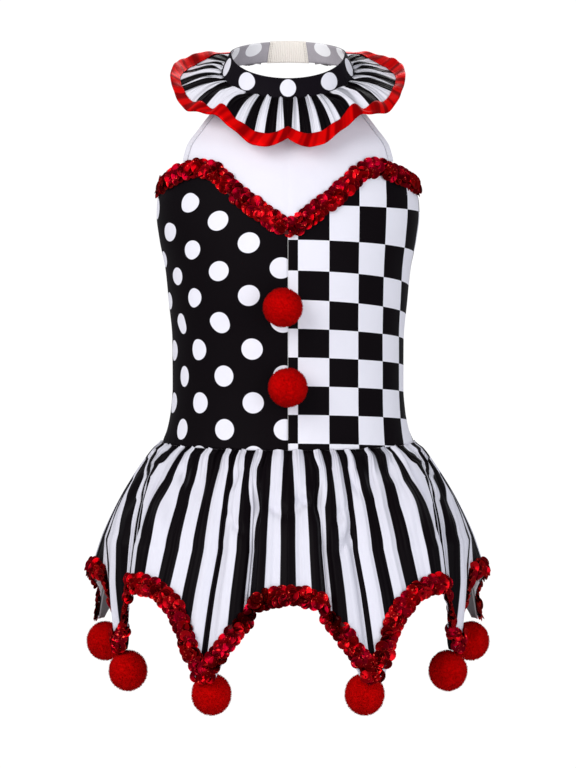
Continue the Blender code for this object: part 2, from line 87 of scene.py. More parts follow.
class Wire:
    """A number or colour inside a material. Python sums on it add Math nodes."""

    def __init__(self, nodes, socket):
        self.nodes = nodes
        self.socket = socket

    def work(self, operation, *others):
        return self.nodes.node("ShaderNodeMath", {"operation": operation}, (self, *others))

    def __add__(self, other):
        return self.work("ADD", other)

    def __sub__(self, other):
        return self.work("SUBTRACT", other)

    def __rsub__(self, other):
        return self.nodes.node("ShaderNodeMath", {"operation": "SUBTRACT"}, (other, self))

    def __mul__(self, other):
        return self.work("MULTIPLY", other)

    def __pow__(self, other):
        return self.work("POWER", other)

    __radd__ = __add__
    __rmul__ = __mul__

    def beyond_whole(self, whole=1.0):
        """What is left over a number of wholes."""
        return self.work("FLOORED_MODULO", whole)

    def below(self, edge, softness):
        """1 where this is under edge and 0 over it, with a soft step between."""
        settings = {"interpolation_type": "SMOOTHSTEP"}
        sockets = {"Value": self, "From Min": edge - softness, "From Max": edge + softness}
        sockets.update({"To Min": 1.0, "To Max": 0.0})
        return self.nodes.node("ShaderNodeMapRange", settings, sockets)


class Nodes:
    """The nodes of a material or of the sky: node() adds any of them."""

    def __init__(self, owner):
        owner.use_nodes = True
        self.tree = owner.node_tree

    def feed(self, socket, value):
        if isinstance(value, Wire):
            self.tree.links.new(value.socket, socket)
        elif socket.type == "RGBA":
            socket.default_value = (*value, 1)
        else:
            socket.default_value = value

    def node(self, kind, settings=None, sockets=(), output=0):
        made = self.tree.nodes.new(kind)
        for setting, value in (settings or {}).items():
            setattr(made, setting, value)
        named = sockets.items() if isinstance(sockets, dict) else enumerate(sockets)
        for socket, value in named:
            self.feed(made.inputs[socket], value)
        return Wire(self, made.outputs[output])


class Finish(Nodes):
    """A material in the making, whose shader give() feeds."""

    def __init__(self, name, roughness, **fixed):
        self.material = bpy.data.materials.new(name)
        super().__init__(self.material)
        self.shader = self.tree.nodes["Principled BSDF"]
        self.shader.inputs["Roughness"].default_value = roughness
        for socket, value in fixed.items():
            self.shader.inputs[socket.replace("_", " ")].default_value = value

    def give(self, socket, value):
        self.feed(self.shader.inputs[socket], value)

    def mix(self, share, a, b):
        """Colour a where share is 0 and colour b where it is 1."""
        return self.node("ShaderNodeMix", {"data_type": "RGBA"}, {0: share, 6: a, 7: b}, output=2)

    def flat(self):
        """The place on the flat cloth, across and down, in the units that its mesh gives."""
        place = self.node("ShaderNodeUVMap", {"uv_map": "flat"})
        return [self.node("ShaderNodeSeparateXYZ", None, (place,), output=axis) for axis in "XY"]

    def grain(self, size, detail=2.0):
        """Noise between 0 and 1 over the piece, with features of a size in mm."""
        place = self.node("ShaderNodeTexCoord", output="Object")
        sockets = {"Vector": place, "Scale": 1 / (size * MM), "Detail": detail}
        return self.node("ShaderNodeTexNoise", None, sockets)

    def mottle(self, grains):
        """Noises of several sizes in mm together, each by its own share."""
        first, *others = (self.grain(size) * share for size, share in grains)
        return sum(others, first)

    def shaded(self, share, colour, times):
        """A colour where share is 0, and that colour times a number where share is 1."""
        return self.mix(share, colour, [times * c for c in colour])

    def streaks(self, along):
        """Noise between 0 and 1 that changes along one measure alone, about once in each unit of it."""
        sockets = {"W": along, "Scale": 1.0, "Detail": 1.0}
        return self.node("ShaderNodeTexNoise", {"noise_dimensions": "1D"}, sockets)

    def relief(self, height, depth=1.0):
        """Raises the surface by height times a depth in mm."""
        sockets = {"Height": height, "Distance": depth * MM}
        self.give("Normal", self.node("ShaderNodeBump", None, sockets))


scene = bpy.context.scene
camera = bpy.data.objects.new("camera", bpy.data.cameras.new("camera"))
camera.location = (0, -CAMERA_DISTANCE, CAMERA_LEVEL)
camera.rotation_euler = (math.radians(90), 0, 0)
camera.data.sensor_fit = "VERTICAL"
camera.data.sensor_height = SENSOR
camera.data.lens = SENSOR * CAMERA_DISTANCE / (PICTURE_ROWS * PIXEL)
camera.data.shift_y = (HORIZON_ROW - PICTURE_ROWS / 2) / PICTURE_ROWS
scene.collection.objects.link(camera)
scene.camera = camera
scene.view_settings.view_transform = "Standard"

for plan in LIGHTS:
    lamp = bpy.data.lights.new(plan.name, "AREA")
    lamp.shape = "DISK"
    lamp.size = plan.size
    lamp.energy = plan.watts
    lamp.color = plan.colour
    light = bpy.data.objects.new(plan.name, lamp)
    light.location = plan.place
    aim = Vector((0, 0, CAMERA_LEVEL)) - light.location
    light.rotation_euler = aim.to_track_quat("-Z", "Y").to_euler()
    scene.collection.objects.link(light)

sky = bpy.data.worlds.new("sky")
sky_nodes = Nodes(sky)
lit = sky_nodes.node("ShaderNodeBackground", None, (SKY_COLOUR, SKY_LIGHT))
shown = sky_nodes.node("ShaderNodeBackground", None, ((1, 1, 1), SKY_SHOWN))
seen = sky_nodes.node("ShaderNodeLightPath", output="Is Camera Ray")
sky_mix = sky_nodes.node("ShaderNodeMixShader", None, (seen, lit, shown))
sky_nodes.feed(sky.node_tree.nodes["World Output"].inputs["Surface"], sky_mix)
scene.world = sky

floor_paint = Finish("floor_paint", roughness=FLOOR_ROUGHNESS)
floor_paint.give("Base Color", FLOOR_COLOUR)
bpy.ops.mesh.primitive_circle_add(
    vertices=FLOOR_SIDES, radius=FLOOR_RADIUS, fill_type="NGON", location=(0, 0, FLOOR_LEVEL)
)
floor = bpy.context.object
floor.name = "floor"
floor.data.materials.append(floor_paint.material)

# ---------------------------------------------------------------- neckband
# A strip of black stretch knit with white dots, folded in two lengthwise with the fold at the top.
# Its lower edges hold the ruffle and the yoke between them, and it tilts up towards the back.
BAND_TOP = dict(half_width=45.4, front=42.0, back=40.0, side=13.6, front_drop=25.6, back_rise=14.4)
BAND_BOTTOM = dict(half_width=52.6, front=48.0, back=43.0, side=-2.0, front_drop=27.0, back_rise=14.0)
BAND_LAYER_GAP = 1.3
CLOSURE_WIDTH = 32.0
SEAM_GAP = 0.3
BAND_COLUMNS = 300
BAND_BULGE = 0.4
BAND_SEAM_AT = 0.88
BAND_SEAM_REACH = 0.07
BAND_SEAM_DEPTH = 0.35
BAND_PUCKER = 0.4
BAND_PUCKER_RATE = 0.9
# How far to either side of a place a form's slope is measured, in degrees and as a share of the way down.
ANGLE_STEP = 0.5
SHARE_STEP = 0.05
# The band's dots from the centre front round to one end: the angle where each dot's middle lies. The
# rows under 0 only carry the curve across the centre, and those with a part of a count shape a dot.
BAND_DOTS = table(
    "angle count",
    (-41.5, -1),
    (-10, -0.3),
    (0, 0),
    (10, 0.3),
    (41.5, 1),
    (78, 2),
    (110, 3),
    (141, 4),
    (160, 4.6),
)
BAND_DOT_SPACING = 33.5
BAND_DOT_WIDTH = 15.0
BAND_DOT_DOWN = 0.5
BAND_DOT_SOFTNESS = 0.25
# On the layer inside the fold the dots lie this much further round and nearer the fold, and they are
# this many times as wide, and flatter by this much.
INSIDE_DOT_SHIFT = (0.04, -4.0)
INSIDE_DOT_STRETCH = 1.4
INSIDE_DOT_SQUASH = 1.15
BLACK = (0.002, 0.0009, 0.0018)
BAND_BLACK = (0.0042, 0.0028, 0.005)
WHITE = (0.83, 0.825, 0.9)
# The layer inside the fold carries the same print, painted much paler than outside: painted light, so that
# the shaded inside of the band looks lit.
BAND_INSIDE_PAINTED_LIGHT_BLACK = (0.33, 0.31, 0.335)
BAND_INSIDE_PAINTED_LIGHT_WHITE = (0.96, 0.96, 0.98)
KNIT = 0.6
KNIT_STITCH = 0.55
KNIT_DETAIL = 1.0
KNIT_RELIEF = 0.09
KNIT_FIXED = dict(Sheen_Weight=0.006, Sheen_Roughness=0.4, Specular_IOR_Level=0.05)
# The sizes in mm of the mottling in the knit's colours, and the share of each.
KNIT_MOTTLE = ((9, 0.16), (0.9, 0.14))
BLACK_WEAR = 2.6
WHITE_WEAR = 0.82
PLEAT_FADE = 0.75


def column_of(rows, column):
    """One column of a table, as numbers."""
    return np.array([getattr(row, column) for row in rows], float)


def smooth(rows, at, column):
    """A column of a table at places along its first column, by a smooth curve through the rows."""
    keys = np.array([row[0] for row in rows], float)
    values = column_of(rows, column)
    at = np.asarray(at, float)
    if keys[0] > keys[-1]:
        keys, at = -keys, -at
    at = np.clip(at, keys[0], keys[-1])
    rates = np.diff(values) / np.diff(keys)
    before, after = rates[:-1], rates[1:]
    same_way = before * after > 0
    middle = np.where(same_way, 2 * before * after / np.where(same_way, before + after, 1), 0)
    slopes = np.concatenate(([0], middle, rates[-1:]))
    i = np.clip(np.searchsorted(keys, at, side="right") - 1, 0, len(keys) - 2)
    step = keys[i + 1] - keys[i]
    f = (at - keys[i]) / step
    start, end = slopes[i] * step, slopes[i + 1] * step
    rise = values[i + 1] - values[i]
    return values[i] + f * (start + f * (3 * rise - 2 * start - end + f * (start + end - 2 * rise)))


def blend(a, b, f):
    return a + (b - a) * f


def ridge(x):
    """A soft ridge, 1 high at 0 and gone past 1 on either side."""
    return np.where(np.abs(x) < 1, np.cos(np.clip(x, -1, 1) * math.pi / 2) ** 2, 0.0)


def wander(x, seed):
    """A smooth wandering between -1 and 1 along x, the same each time."""
    waves = ((1.31, 1.0), (2.17, 2.3), (3.73, 4.1))
    return sum(np.sin(rate * np.asarray(x) + turn * seed) for rate, turn in waves) / len(waves)


def points(x, y, z):
    return np.stack(np.broadcast_arrays(x, y, z), axis=-1)


def pushed(places, normals, push):
    return places + normals * np.asarray(push)[..., None]


def unit(vectors):
    return vectors / np.linalg.norm(vectors, axis=-1, keepdims=True)


def ring(angle, half_width, front, back, side, front_drop=0.0, back_rise=0.0):
    """Places on a ring round the body whose front and back reach and hang differently."""
    s, c = np.sin(np.radians(angle)), np.cos(np.radians(angle))
    reach = np.where(c > 0, front, back)
    height = side - front_drop * np.maximum(c, 0) + back_rise * np.maximum(-c, 0)
    return points(half_width * s, -reach * c, height)


def facing(form, u, v, du, dv):
    """Unit normals of form(u, v), where u runs anticlockwise round the body and v + dv is lower."""
    along = form(u + du, v) - form(u - du, v)
    down = form(u, v + dv) - form(u, v - dv)
    return unit(np.cross(down, along))


def arc_angle(form, angle, v, length):
    """The angle that spans a length of cloth at a place on a form, by how long one degree is there."""
    return length / np.linalg.norm(form(angle + 0.5, v) - form(angle - 0.5, v), axis=-1)


def lengths_along(line):
    """How far along a line of points each of them lies."""
    return np.concatenate(([0], np.cumsum(np.linalg.norm(np.diff(line, axis=0), axis=1))))


def cut_size(grid):
    """The width, the length and the area, in metres, of the cloth that a grid of points makes."""
    width = max(lengths_along(row)[-1] for row in grid) * MM
    length = max(lengths_along(grid[:, c])[-1] for c in range(grid.shape[1])) * MM
    diagonals = np.cross(grid[1:, 1:] - grid[:-1, :-1], grid[1:, :-1] - grid[:-1, 1:])
    area = np.linalg.norm(diagonals, axis=-1).sum() / 2 * MM * MM
    return (width, length), min(area, width * length)


def grid_quads(rows, columns):
    """The faces of a grid of points, turned to face outwards."""
    n = np.arange(rows * columns).reshape(rows, columns)
    return np.stack([n[:-1, :-1], n[1:, :-1], n[1:, 1:], n[:-1, 1:]], axis=-1).reshape(-1, 4)


def make_piece(name, places, faces, flat, finishes, which=None):
    """A piece from its points in mm, its faces, and each point's place on the flat cloth."""
    mesh = bpy.data.meshes.new(name)
    mesh.from_pydata((places * MM).tolist(), [], faces.tolist())
    corners = np.empty(len(mesh.loops), np.int32)
    mesh.loops.foreach_get("vertex_index", corners)
    layer = mesh.uv_layers.new(name="flat")
    layer.data.foreach_set("uv", np.asarray(flat, np.float32)[corners].ravel())
    for finish in finishes:
        mesh.materials.append(finish.material)
    if which is not None:
        mesh.polygons.foreach_set("material_index", np.asarray(which, np.int32))
    mesh.shade_smooth()
    piece = bpy.data.objects.new(name, mesh)
    scene.collection.objects.link(piece)
    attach(piece, "root")
    return piece


def cloth(name, grid, across, down, finish, wrong_side=None, thickness=KNIT, turned_row=None):
    """A thin cloth through a grid of points. across and down say where each lies on the flat cloth.
    wrong_side is the finish of its inner face, or, where the cloth is folded over at turned_row, of the
    layer before the fold."""
    rows, columns = grid.shape[:2]
    quads = grid_quads(rows, columns)
    finishes = [finish] if wrong_side is None else [finish, wrong_side]
    which = None
    if turned_row is not None:
        which = np.arange(len(quads)) // (columns - 1) < turned_row
    flat = np.stack(np.broadcast_arrays(across, down), axis=-1).reshape(-1, 2)
    piece = make_piece(name, grid.reshape(-1, 3), quads, flat, finishes, which)
    wall = piece.modifiers.new("thickness", "SOLIDIFY")
    wall.thickness = thickness * MM
    wall.offset = 0
    if wrong_side is not None and turned_row is None:
        wall.material_offset = 1
    return piece


def folded(line, normals, reach, gap, steps=14, turn_steps=6):
    """Rows of a strip folded over an edge: along its face, round the edge and back behind.

    line(f) and normals(f) give the middle between the two layers from the sewn edge, f 0, to the
    fold, f 1. reach is the way between those in mm, and gap the way between the layers' middles.
    """
    half = gap / 2
    straight = 1 - half / reach
    rows = [line(f) + normals(f) * half for f in np.linspace(0, straight, steps)]
    for turn in np.linspace(0, math.pi, turn_steps + 1)[1:-1]:
        f = straight + (1 - straight) * math.sin(turn)
        rows.append(line(f) + normals(f) * half * math.cos(turn))
    rows += [line(f) - normals(f) * half for f in np.linspace(straight, 0, steps)]
    return np.array(rows)


def knit_finish(name, printed, black=BLACK, white=WHITE, roughness=0.62, pleats=0, pleat_depth=0, **fixed):
    """Stretch knit with a print. printed(finish) gives a mask that is 1 where the cloth is white. Where
    the flat place's second number nears 1 the knit is gathered, into about this many pleats a unit."""
    finish = Finish(name, roughness, **{**KNIT_FIXED, **fixed})
    mottle = finish.mottle(KNIT_MOTTLE)
    worn_black = finish.shaded(mottle, black, BLACK_WEAR)
    worn_white = finish.shaded(mottle, white, WHITE_WEAR)
    finish.give("Base Color", finish.mix(printed(finish), worn_black, worn_white))
    height = finish.grain(KNIT_STITCH, KNIT_DETAIL) * KNIT_RELIEF
    if pleats:
        across, gathered = finish.flat()
        fading = gathered * PLEAT_FADE + (1 - PLEAT_FADE)
        height = height + finish.streaks(across * pleats) * fading * pleat_depth
    finish.relief(height)
    return finish


def band_dots(finish):
    across, down = finish.flat()
    dx = ((across + 0.5).beyond_whole() - 0.5) * BAND_DOT_SPACING
    return ((dx**2 + down**2) ** 0.5).below(BAND_DOT_WIDTH / 2, BAND_DOT_SOFTNESS)


def band(angle, down):
    """The middle of the neckband: down is 0 at its fold and 1 at its sewn edge."""
    return blend(ring(angle, **BAND_TOP), ring(angle, **BAND_BOTTOM), np.asarray(down)[..., None])


def band_facing(angle, down):
    return facing(band, angle, down, ANGLE_STEP, SHARE_STEP)


def band_surface(angle, down):
    """The band with the puckers that the gathered ruffle pulls into its lower edge."""
    down = np.full(np.shape(angle), down)
    pucker = BAND_PUCKER * wander(angle * BAND_PUCKER_RATE, 3) * np.clip(down, 0, 1) ** 3
    seam = BAND_SEAM_DEPTH * ridge((down - BAND_SEAM_AT) / BAND_SEAM_REACH)
    bulge = BAND_BULGE * np.sin(math.pi * down)
    return pushed(band(angle, down), band_facing(angle, down), pucker - seam + bulge)


dotted_band = knit_finish("dotted_band_knit", band_dots, BAND_BLACK)
# The inside layer's knit, its black and white painted paler as painted light.
band_inside_painted_light = knit_finish("dotted_band_inside", band_dots, BAND_INSIDE_PAINTED_LIGHT_BLACK, BAND_INSIDE_PAINTED_LIGHT_WHITE)
band_end = 180 - arc_angle(band, 180, 0.5, CLOSURE_WIDTH / 2 + SEAM_GAP)
band_angles = np.linspace(-band_end, band_end, BAND_COLUMNS)
band_width = float(np.linalg.norm(band(0, 1) - band(0, 0)))
band_grid = folded(
    lambda f: band_surface(band_angles, 1 - f),
    lambda f: band_facing(band_angles, 1 - f),
    band_width,
    BAND_LAYER_GAP,
)[::-1]
dot_count = np.sign(band_angles) * smooth(BAND_DOTS, np.abs(band_angles), "count")
band_down = lengths_along(band_grid[:, BAND_COLUMNS // 2])
band_down = np.abs(band_down - band_down[-1] / 2) - BAND_DOT_DOWN * band_width
inside = (np.arange(len(band_grid)) < len(band_grid) // 2)[:, None]
nearest_dot = np.round(dot_count)
inside_count = nearest_dot + (dot_count - nearest_dot) / INSIDE_DOT_STRETCH
inside_count = inside_count - INSIDE_DOT_SHIFT[0] * np.sign(dot_count)
inside_down = (band_down[:, None] - INSIDE_DOT_SHIFT[1]) * INSIDE_DOT_SQUASH
neckband = cloth(
    "neckband",
    band_grid,
    np.where(inside, inside_count, dot_count),
    np.where(inside, inside_down, band_down[:, None]),
    dotted_band,
    band_inside_painted_light,
    turned_row=len(band_grid) // 2,
)
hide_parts("neck_band")
band_cut, band_area = cut_size(band_grid)

# ---------------------------------------------------------------- neck closure
# A short ribbed beige tape between the band's two ends at the centre back, where the dress opens. Its
# ends are turned under and stitched through.
# The tape's colour, and its painted shade across the ribs.
TAPE_COLOUR = (0.97, 0.92, 0.85)
TAPE_SHADE = (0.78, 0.7, 0.6)
TAPE_THICKNESS = 1.2
TAPE_OVERHANG = 0.04
TAPE_RIB = 1.5
TAPE_RIB_HEIGHT = 0.22
TAPE_END = 3.0
TAPE_END_RISE = 0.25
TAPE_COLUMNS = 161
TAPE_ROWS = 16
TAPE_RIB_SHADING = 1.3
TAPE_WEFTS_A_MM = 2.6
TAPE_WEFT_RELIEF = 0.06
TAPE_STITCH_INSETS = (0.8, 2.2)
TAPE_STITCH_POINTS = 40
TAPE_STITCH_END = 0.02
# The thread's colour, and its painted shade along the twist.
THREAD = (0.8, 0.77, 0.72)
THREAD_SHADE = (0.55, 0.52, 0.47)
THREAD_TWISTS = 2
THREAD_SHADING = 0.7
STITCH_SIDES = 6
STITCH_STEPS = 7
# How blunt a stitch's ends are: the power of their rounding, and the least it leaves.
STITCH_BLUNT = 4
STITCH_END = 0.02


def thread_finish(name, light, dark):
    finish = Finish(name, roughness=0.5, Sheen_Weight=0.2)
    across, down = finish.flat()
    # Painted shade along the twist: each turn of the thread is painted from light to dark.
    twist = (across * THREAD_TWISTS + down).beyond_whole()
    finish.give("Base Color", finish.mix(twist * THREAD_SHADING, light, dark))
    return finish


def stitches(name, line, normals, finish, length=2.0, gap=0.7, width=0.42, sunk=0.1):
    """A row of machine stitches: short rounded lengths of thread along a line on the cloth."""
    run = lengths_along(line)
    count = int(run[-1] // (length + gap))
    along = np.linspace(-1, 1, STITCH_STEPS)
    shape = np.sqrt(np.clip(1 - along**STITCH_BLUNT, STITCH_END, 1))
    turns = np.linspace(0, 2 * math.pi, STITCH_SIDES, endpoint=False)
    places, flat, faces = [], [], []
    for n in range(count):
        middle = (n + 0.5) * run[-1] / count
        at = [np.interp(middle + along * length / 2, run, line[:, axis]) for axis in range(3)]
        up = [np.interp(middle + along * length / 2, run, normals[:, axis]) for axis in range(3)]
        at, up = np.stack(at, -1), unit(np.stack(up, -1))
        sideways = unit(np.cross(up, at[-1] - at[0]))
        for step, (p, q, s, size) in enumerate(zip(at, up, sideways, shape)):
            p = p + q * (width / 2 * size - sunk)
            for side, turn in enumerate(turns):
                places.append(p + (s * math.cos(turn) + q * math.sin(turn)) * width / 2 * size)
                flat.append((step / (STITCH_STEPS - 1), side / STITCH_SIDES))
        start = n * STITCH_STEPS * STITCH_SIDES
        for step in range(STITCH_STEPS - 1):
            for side in range(STITCH_SIDES):
                a = start + step * STITCH_SIDES + side
                b = start + step * STITCH_SIDES + (side + 1) % STITCH_SIDES
                faces.append((a, b, b + STITCH_SIDES, a + STITCH_SIDES))
    return make_piece(name, np.array(places), np.array(faces), flat, [finish])


tape_half_angle = arc_angle(band, 180, 0.5, CLOSURE_WIDTH / 2)
tape_angles = np.linspace(180 - tape_half_angle, 180 + tape_half_angle, TAPE_COLUMNS)[None, :]
tape_down = np.linspace(-TAPE_OVERHANG, 1 + TAPE_OVERHANG, TAPE_ROWS)[:, None]
tape_across = (tape_angles - 180) / tape_half_angle * CLOSURE_WIDTH / 2
tape_rib = np.cos(2 * math.pi * tape_across / TAPE_RIB) * TAPE_RIB_HEIGHT
tape_turned = (np.abs(tape_across) > CLOSURE_WIDTH / 2 - TAPE_END) * TAPE_END_RISE
tape_grid = pushed(
    band(tape_angles, tape_down), band_facing(tape_angles, tape_down), tape_rib + tape_turned
)
tape_finish = Finish("beige_tape", roughness=0.55, Sheen_Weight=0.15)
rib_across, rib_down = tape_finish.flat()
# Painted shade: the tape's colour darkens and lightens across each rib.
rib_shade = ((rib_across * (1 / TAPE_RIB)).beyond_whole() - 0.5).work("ABSOLUTE") * TAPE_RIB_SHADING
tape_finish.give("Base Color", tape_finish.mix(rib_shade, TAPE_COLOUR, TAPE_SHADE))
tape_finish.relief((rib_down * TAPE_WEFTS_A_MM).beyond_whole(), TAPE_WEFT_RELIEF)
closure = cloth(
    "closure_tape",
    tape_grid,
    tape_across,
    tape_down * band_width,
    tape_finish,
    thickness=TAPE_THICKNESS,
)
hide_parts("neck_closure")
pale_thread = thread_finish("pale_thread", THREAD, THREAD_SHADE)
for side, label in ((-1, "a"), (1, "b")):
    for number, inset in enumerate(TAPE_STITCH_INSETS, 1):
        down = np.linspace(TAPE_STITCH_END, 1 - TAPE_STITCH_END, TAPE_STITCH_POINTS)
        angle = np.full_like(down, 180 + side * tape_half_angle * (1 - inset / (CLOSURE_WIDTH / 2)))
        outward = band_facing(angle, down)
        line = pushed(band(angle, down), -outward, np.full_like(down, TAPE_THICKNESS / 2))
        name = f"tape_stitches_{label}_{number}"
        stitches(name, line, -outward, pale_thread, length=1.4, gap=0.5)

# ---------------------------------------------------------------- ruffle
# A strip of striped knit, gathered into the band's lower edge so that it stands out round the neck
# and falls in waves at the front. A red satin ribbon is folded over its outer edge and sewn on.
RUFFLE_END_ANGLE = 156
RUFFLE_PAIRS = 25
RUFFLE_PAIR_COLUMNS = 28
RUFFLE_COLUMNS = RUFFLE_PAIRS * RUFFLE_PAIR_COLUMNS + 1
RUFFLE_ROWS = 36
RUFFLE_EDGE_INSET = 1.6
RUFFLE_STAND_OFF = 2.8
RUFFLE_DROP = 1.3
RIBBON_WIDTH = 8.0
RUFFLE_WAVE = 0.36
RUFFLE_ARCH = 4.0
CUP_AT = 0.82
GATHER_FADE_FROM = 150
GATHER_FADE_OVER = 25
GATHER_LEAST = 0.25
GATHER_REACH = 0.7
GATHER_SHOWN_POWER = 1.5
BAND_GATHER = 1.8
FINE_GATHER = 1.1
FINE_GATHER_RATE = 0.6
FINE_GATHER_POWER = 0.8
# The strip's gathered edge is tucked up into the band by this much inwards and upwards.
TUCK = (2.6, 2.4)
TUCK_ROWS = 3
# The ruffle's outer edge, a row for each crest and hollow: out is to the side, forward to the front, and
# cup is how far the strip sinks just inside its ribbon, where the ribbon turns up.
RUFFLE_EDGE = table(
    "angle out forward height cup",
    (0, 0, 76, -62, 0),
    (11, 18, 76, -69, 0),
    (17, 27, 74, -66.5, 0),
    (29, 44, 68, -53, 0),
    (41, 60, 60, -41, 0),
    (56, 78, 42, -38, 0),
    (70, 88.5, 25, -24, 2),
    (90, 94, -2, -3, 6),
    (102, 91.5, -22, 8, 9),
    (124, 79, -47, 17.5, 7),
    (138, 64, -64, 22, 2),
    (156, 40, -79, 23, 0),
)
# Where the sides of the ruffle's stripes lie, as angles: black is between a quarter under and a quarter
# over each whole count. The gathers squeeze some of them to nothing.
RUFFLE_STRIPES = table(
    "count at_band at_edge",
    (0, 0, 0),
    (0.25, 4.1, 3.3),
    (0.75, 7.5, 6.9),
    (1.25, 13.6, 12.2),
    (1.75, 19.7, 17.8),
    (2.25, 24.2, 23.6),
    (2.75, 30.8, 29.5),
    (3.25, 36.5, 35),
    (3.75, 57, 48.3),
    (4.25, 64.5, 57),
    (4.75, 69.5, 72),
    (5.25, 74, 78.5),
    (5.75, 80, 79.5),
    (6.25, 86, 86.5),
    (6.75, 93, 100),
    (7.25, 101, 108),
    (7.75, 113.3, 120.5),
    (8.25, 114, 121.2),
    (8.75, 126, 132),
    (9.25, 133, 139),
    (9.75, 141, 146),
    (10.25, 148.5, 152),
    (10.75, 156, 156),
)
STRIPE_EDGE = 0.25
STRIPE_PINCH = 0.05
STRIPE_SOFTNESS = 0.012
WRONG_BLACK = (0.16, 0.15, 0.155)
WRONG_WHITE = (0.6, 0.575, 0.58)
# The satin's painted shade and painted highlight: a dark and a bright red, which the bands below mix.
SATIN_PAINTED_SHADE = (0.27, 0.0, 0.001)
SATIN_PAINTED_HIGHLIGHT = (0.78, 0.002, 0.002)
# Painted highlight and painted shade: the satin's colour is painted in broad light and dark bands across
# the ribbon, this far apart in mm and this much askew.
SATIN_PAINTED_BAND = 10.0
SATIN_PAINTED_BAND_SLANT = 0.5
SATIN_PAINTED_BAND_SOFTNESS = 0.13
SATIN_CREASE = 3.0
SATIN_RELIEF = 0.1
# The tint that keeps red things from shining white where they turn away.
EDGE_RED = (1.0, 0.05, 0.05, 1)
RIBBON_GAP = 1.8
RIBBON_CLOTH = 0.4
RIBBON_RIPPLE = 0.7
RIBBON_RIPPLE_RATE = 0.13
RIBBON_RIPPLE_REACH = 1.2
RIBBON_TILT = 1.5
RIBBON_TILT_RATE = 0.07
# How far the cloth dips just inside the ribbon where the ribbon turns its face up or down.
RIBBON_DIPS = table(
    "angle depth",
    (22, 0),
    (28, 1.2),
    (36.5, -3),
    (44, 3.2),
    (53, -2.2),
    (62, 1),
    (70, 0),
)


def stripes(finish):
    """White and black stripe pairs, black in the middle of each whole number of pairs. The white is
    pinched narrower at the gathered edge."""
    across, down = finish.flat()
    from_black = ((across + 0.5).beyond_whole() - 0.5).work("ABSOLUTE")
    return 1 - (from_black - STRIPE_PINCH * down).below(STRIPE_EDGE, STRIPE_SOFTNESS)


def stripe_count(angle, column):
    """How many stripe pairs lie between the centre front and places along the ruffle's edge."""
    sides, counts = column_of(RUFFLE_STRIPES, column), column_of(RUFFLE_STRIPES, "count")
    return np.sign(angle) * np.interp(np.abs(angle), sides, counts)


def ruffle(angle, out):
    """The middle of the ruffle: out is 0 where it is gathered to the band, 1 at its free edge."""
    tucked = np.clip(-np.asarray(out), 0, 1)
    out = np.maximum(out, 0)
    band_out = band_facing(angle, 1)
    inner = pushed(band(angle, 1), band_out, RUFFLE_STAND_OFF) - (0, 0, RUFFLE_DROP)
    edge = points(
        np.where(angle >= 0, 1, -1) * smooth(RUFFLE_EDGE, np.abs(angle), "out"),
        -smooth(RUFFLE_EDGE, np.abs(angle), "forward"),
        smooth(RUFFLE_EDGE, np.abs(angle), "height"),
    )
    toward_cup = np.clip(out / CUP_AT, 0, 1)
    sunk = toward_cup**2 * (3 - 2 * toward_cup) * np.minimum(1, (1 - out) / (1 - CUP_AT))
    cup = smooth(RUFFLE_EDGE, np.abs(angle), "cup") + smooth(RIBBON_DIPS, np.abs(angle), "depth")
    rise = RUFFLE_ARCH * np.sin(math.pi * out) - cup * sunk
    pair = angle / RUFFLE_END_ANGLE * RUFFLE_PAIRS / 2
    waves = RUFFLE_WAVE * np.cos(2 * math.pi * pair) * out
    near_band = np.clip(1 - out / GATHER_REACH, 0, 1)
    puffs = -BAND_GATHER * np.cos(2 * math.pi * stripe_count(angle, "at_band")) * near_band
    fine = FINE_GATHER * wander(angle * FINE_GATHER_RATE, 2) * near_band**FINE_GATHER_POWER
    fade = np.clip((GATHER_FADE_FROM - np.abs(angle)) / GATHER_FADE_OVER, GATHER_LEAST, 1)
    rise = rise + (waves + (puffs + fine) * fade) * (1 - tucked)
    tuck = points(0, 0, TUCK[1] * tucked) - band_out * (TUCK[0] * tucked)[..., None]
    return blend(inner, edge, out[..., None]) + points(0, 0, rise) + tuck


def ruffle_facing(angle, out):
    return facing(ruffle, angle, out, ANGLE_STEP, SHARE_STEP)


ruffle_width = float(np.linalg.norm(ruffle(0, 1) - ruffle(0, 0)))
ribbon_start = 1 - RIBBON_WIDTH / ruffle_width
ruffle_angles = np.linspace(-RUFFLE_END_ANGLE, RUFFLE_END_ANGLE, RUFFLE_COLUMNS)[None, :]
out_to_edge = np.linspace(0, 1 - RUFFLE_EDGE_INSET / ruffle_width, RUFFLE_ROWS)
ruffle_out = np.concatenate((np.linspace(-1, 0, TUCK_ROWS), out_to_edge[1:]))[:, None]
to_edge = np.clip(ruffle_out / CUP_AT, 0, 1)
pairs_at_band, pairs_at_edge = (stripe_count(ruffle_angles, column) for column in ("at_band", "at_edge"))
ruffle_pairs = blend(pairs_at_band, pairs_at_edge, to_edge)
ribbon_ripple = RIBBON_RIPPLE * wander(ruffle_angles * RIBBON_RIPPLE_RATE, 5)
ribbon_tilt = RIBBON_TILT * wander(ruffle_angles * RIBBON_TILT_RATE, 7)
striped_ruffle = knit_finish("striped_knit", stripes, roughness=0.5, pleats=4, pleat_depth=18.0)
striped_back = knit_finish("striped_knit_back", stripes, WRONG_BLACK, WRONG_WHITE)


def ribbon_push(out):
    """How the ribbon, and the cloth inside it, ripples and tips across its width."""
    f = np.clip((out - ribbon_start) / (1 - ribbon_start), 0, 1)
    return ribbon_ripple * np.sin(math.pi * np.minimum(f * RIBBON_RIPPLE_REACH, 1)) + ribbon_tilt * f


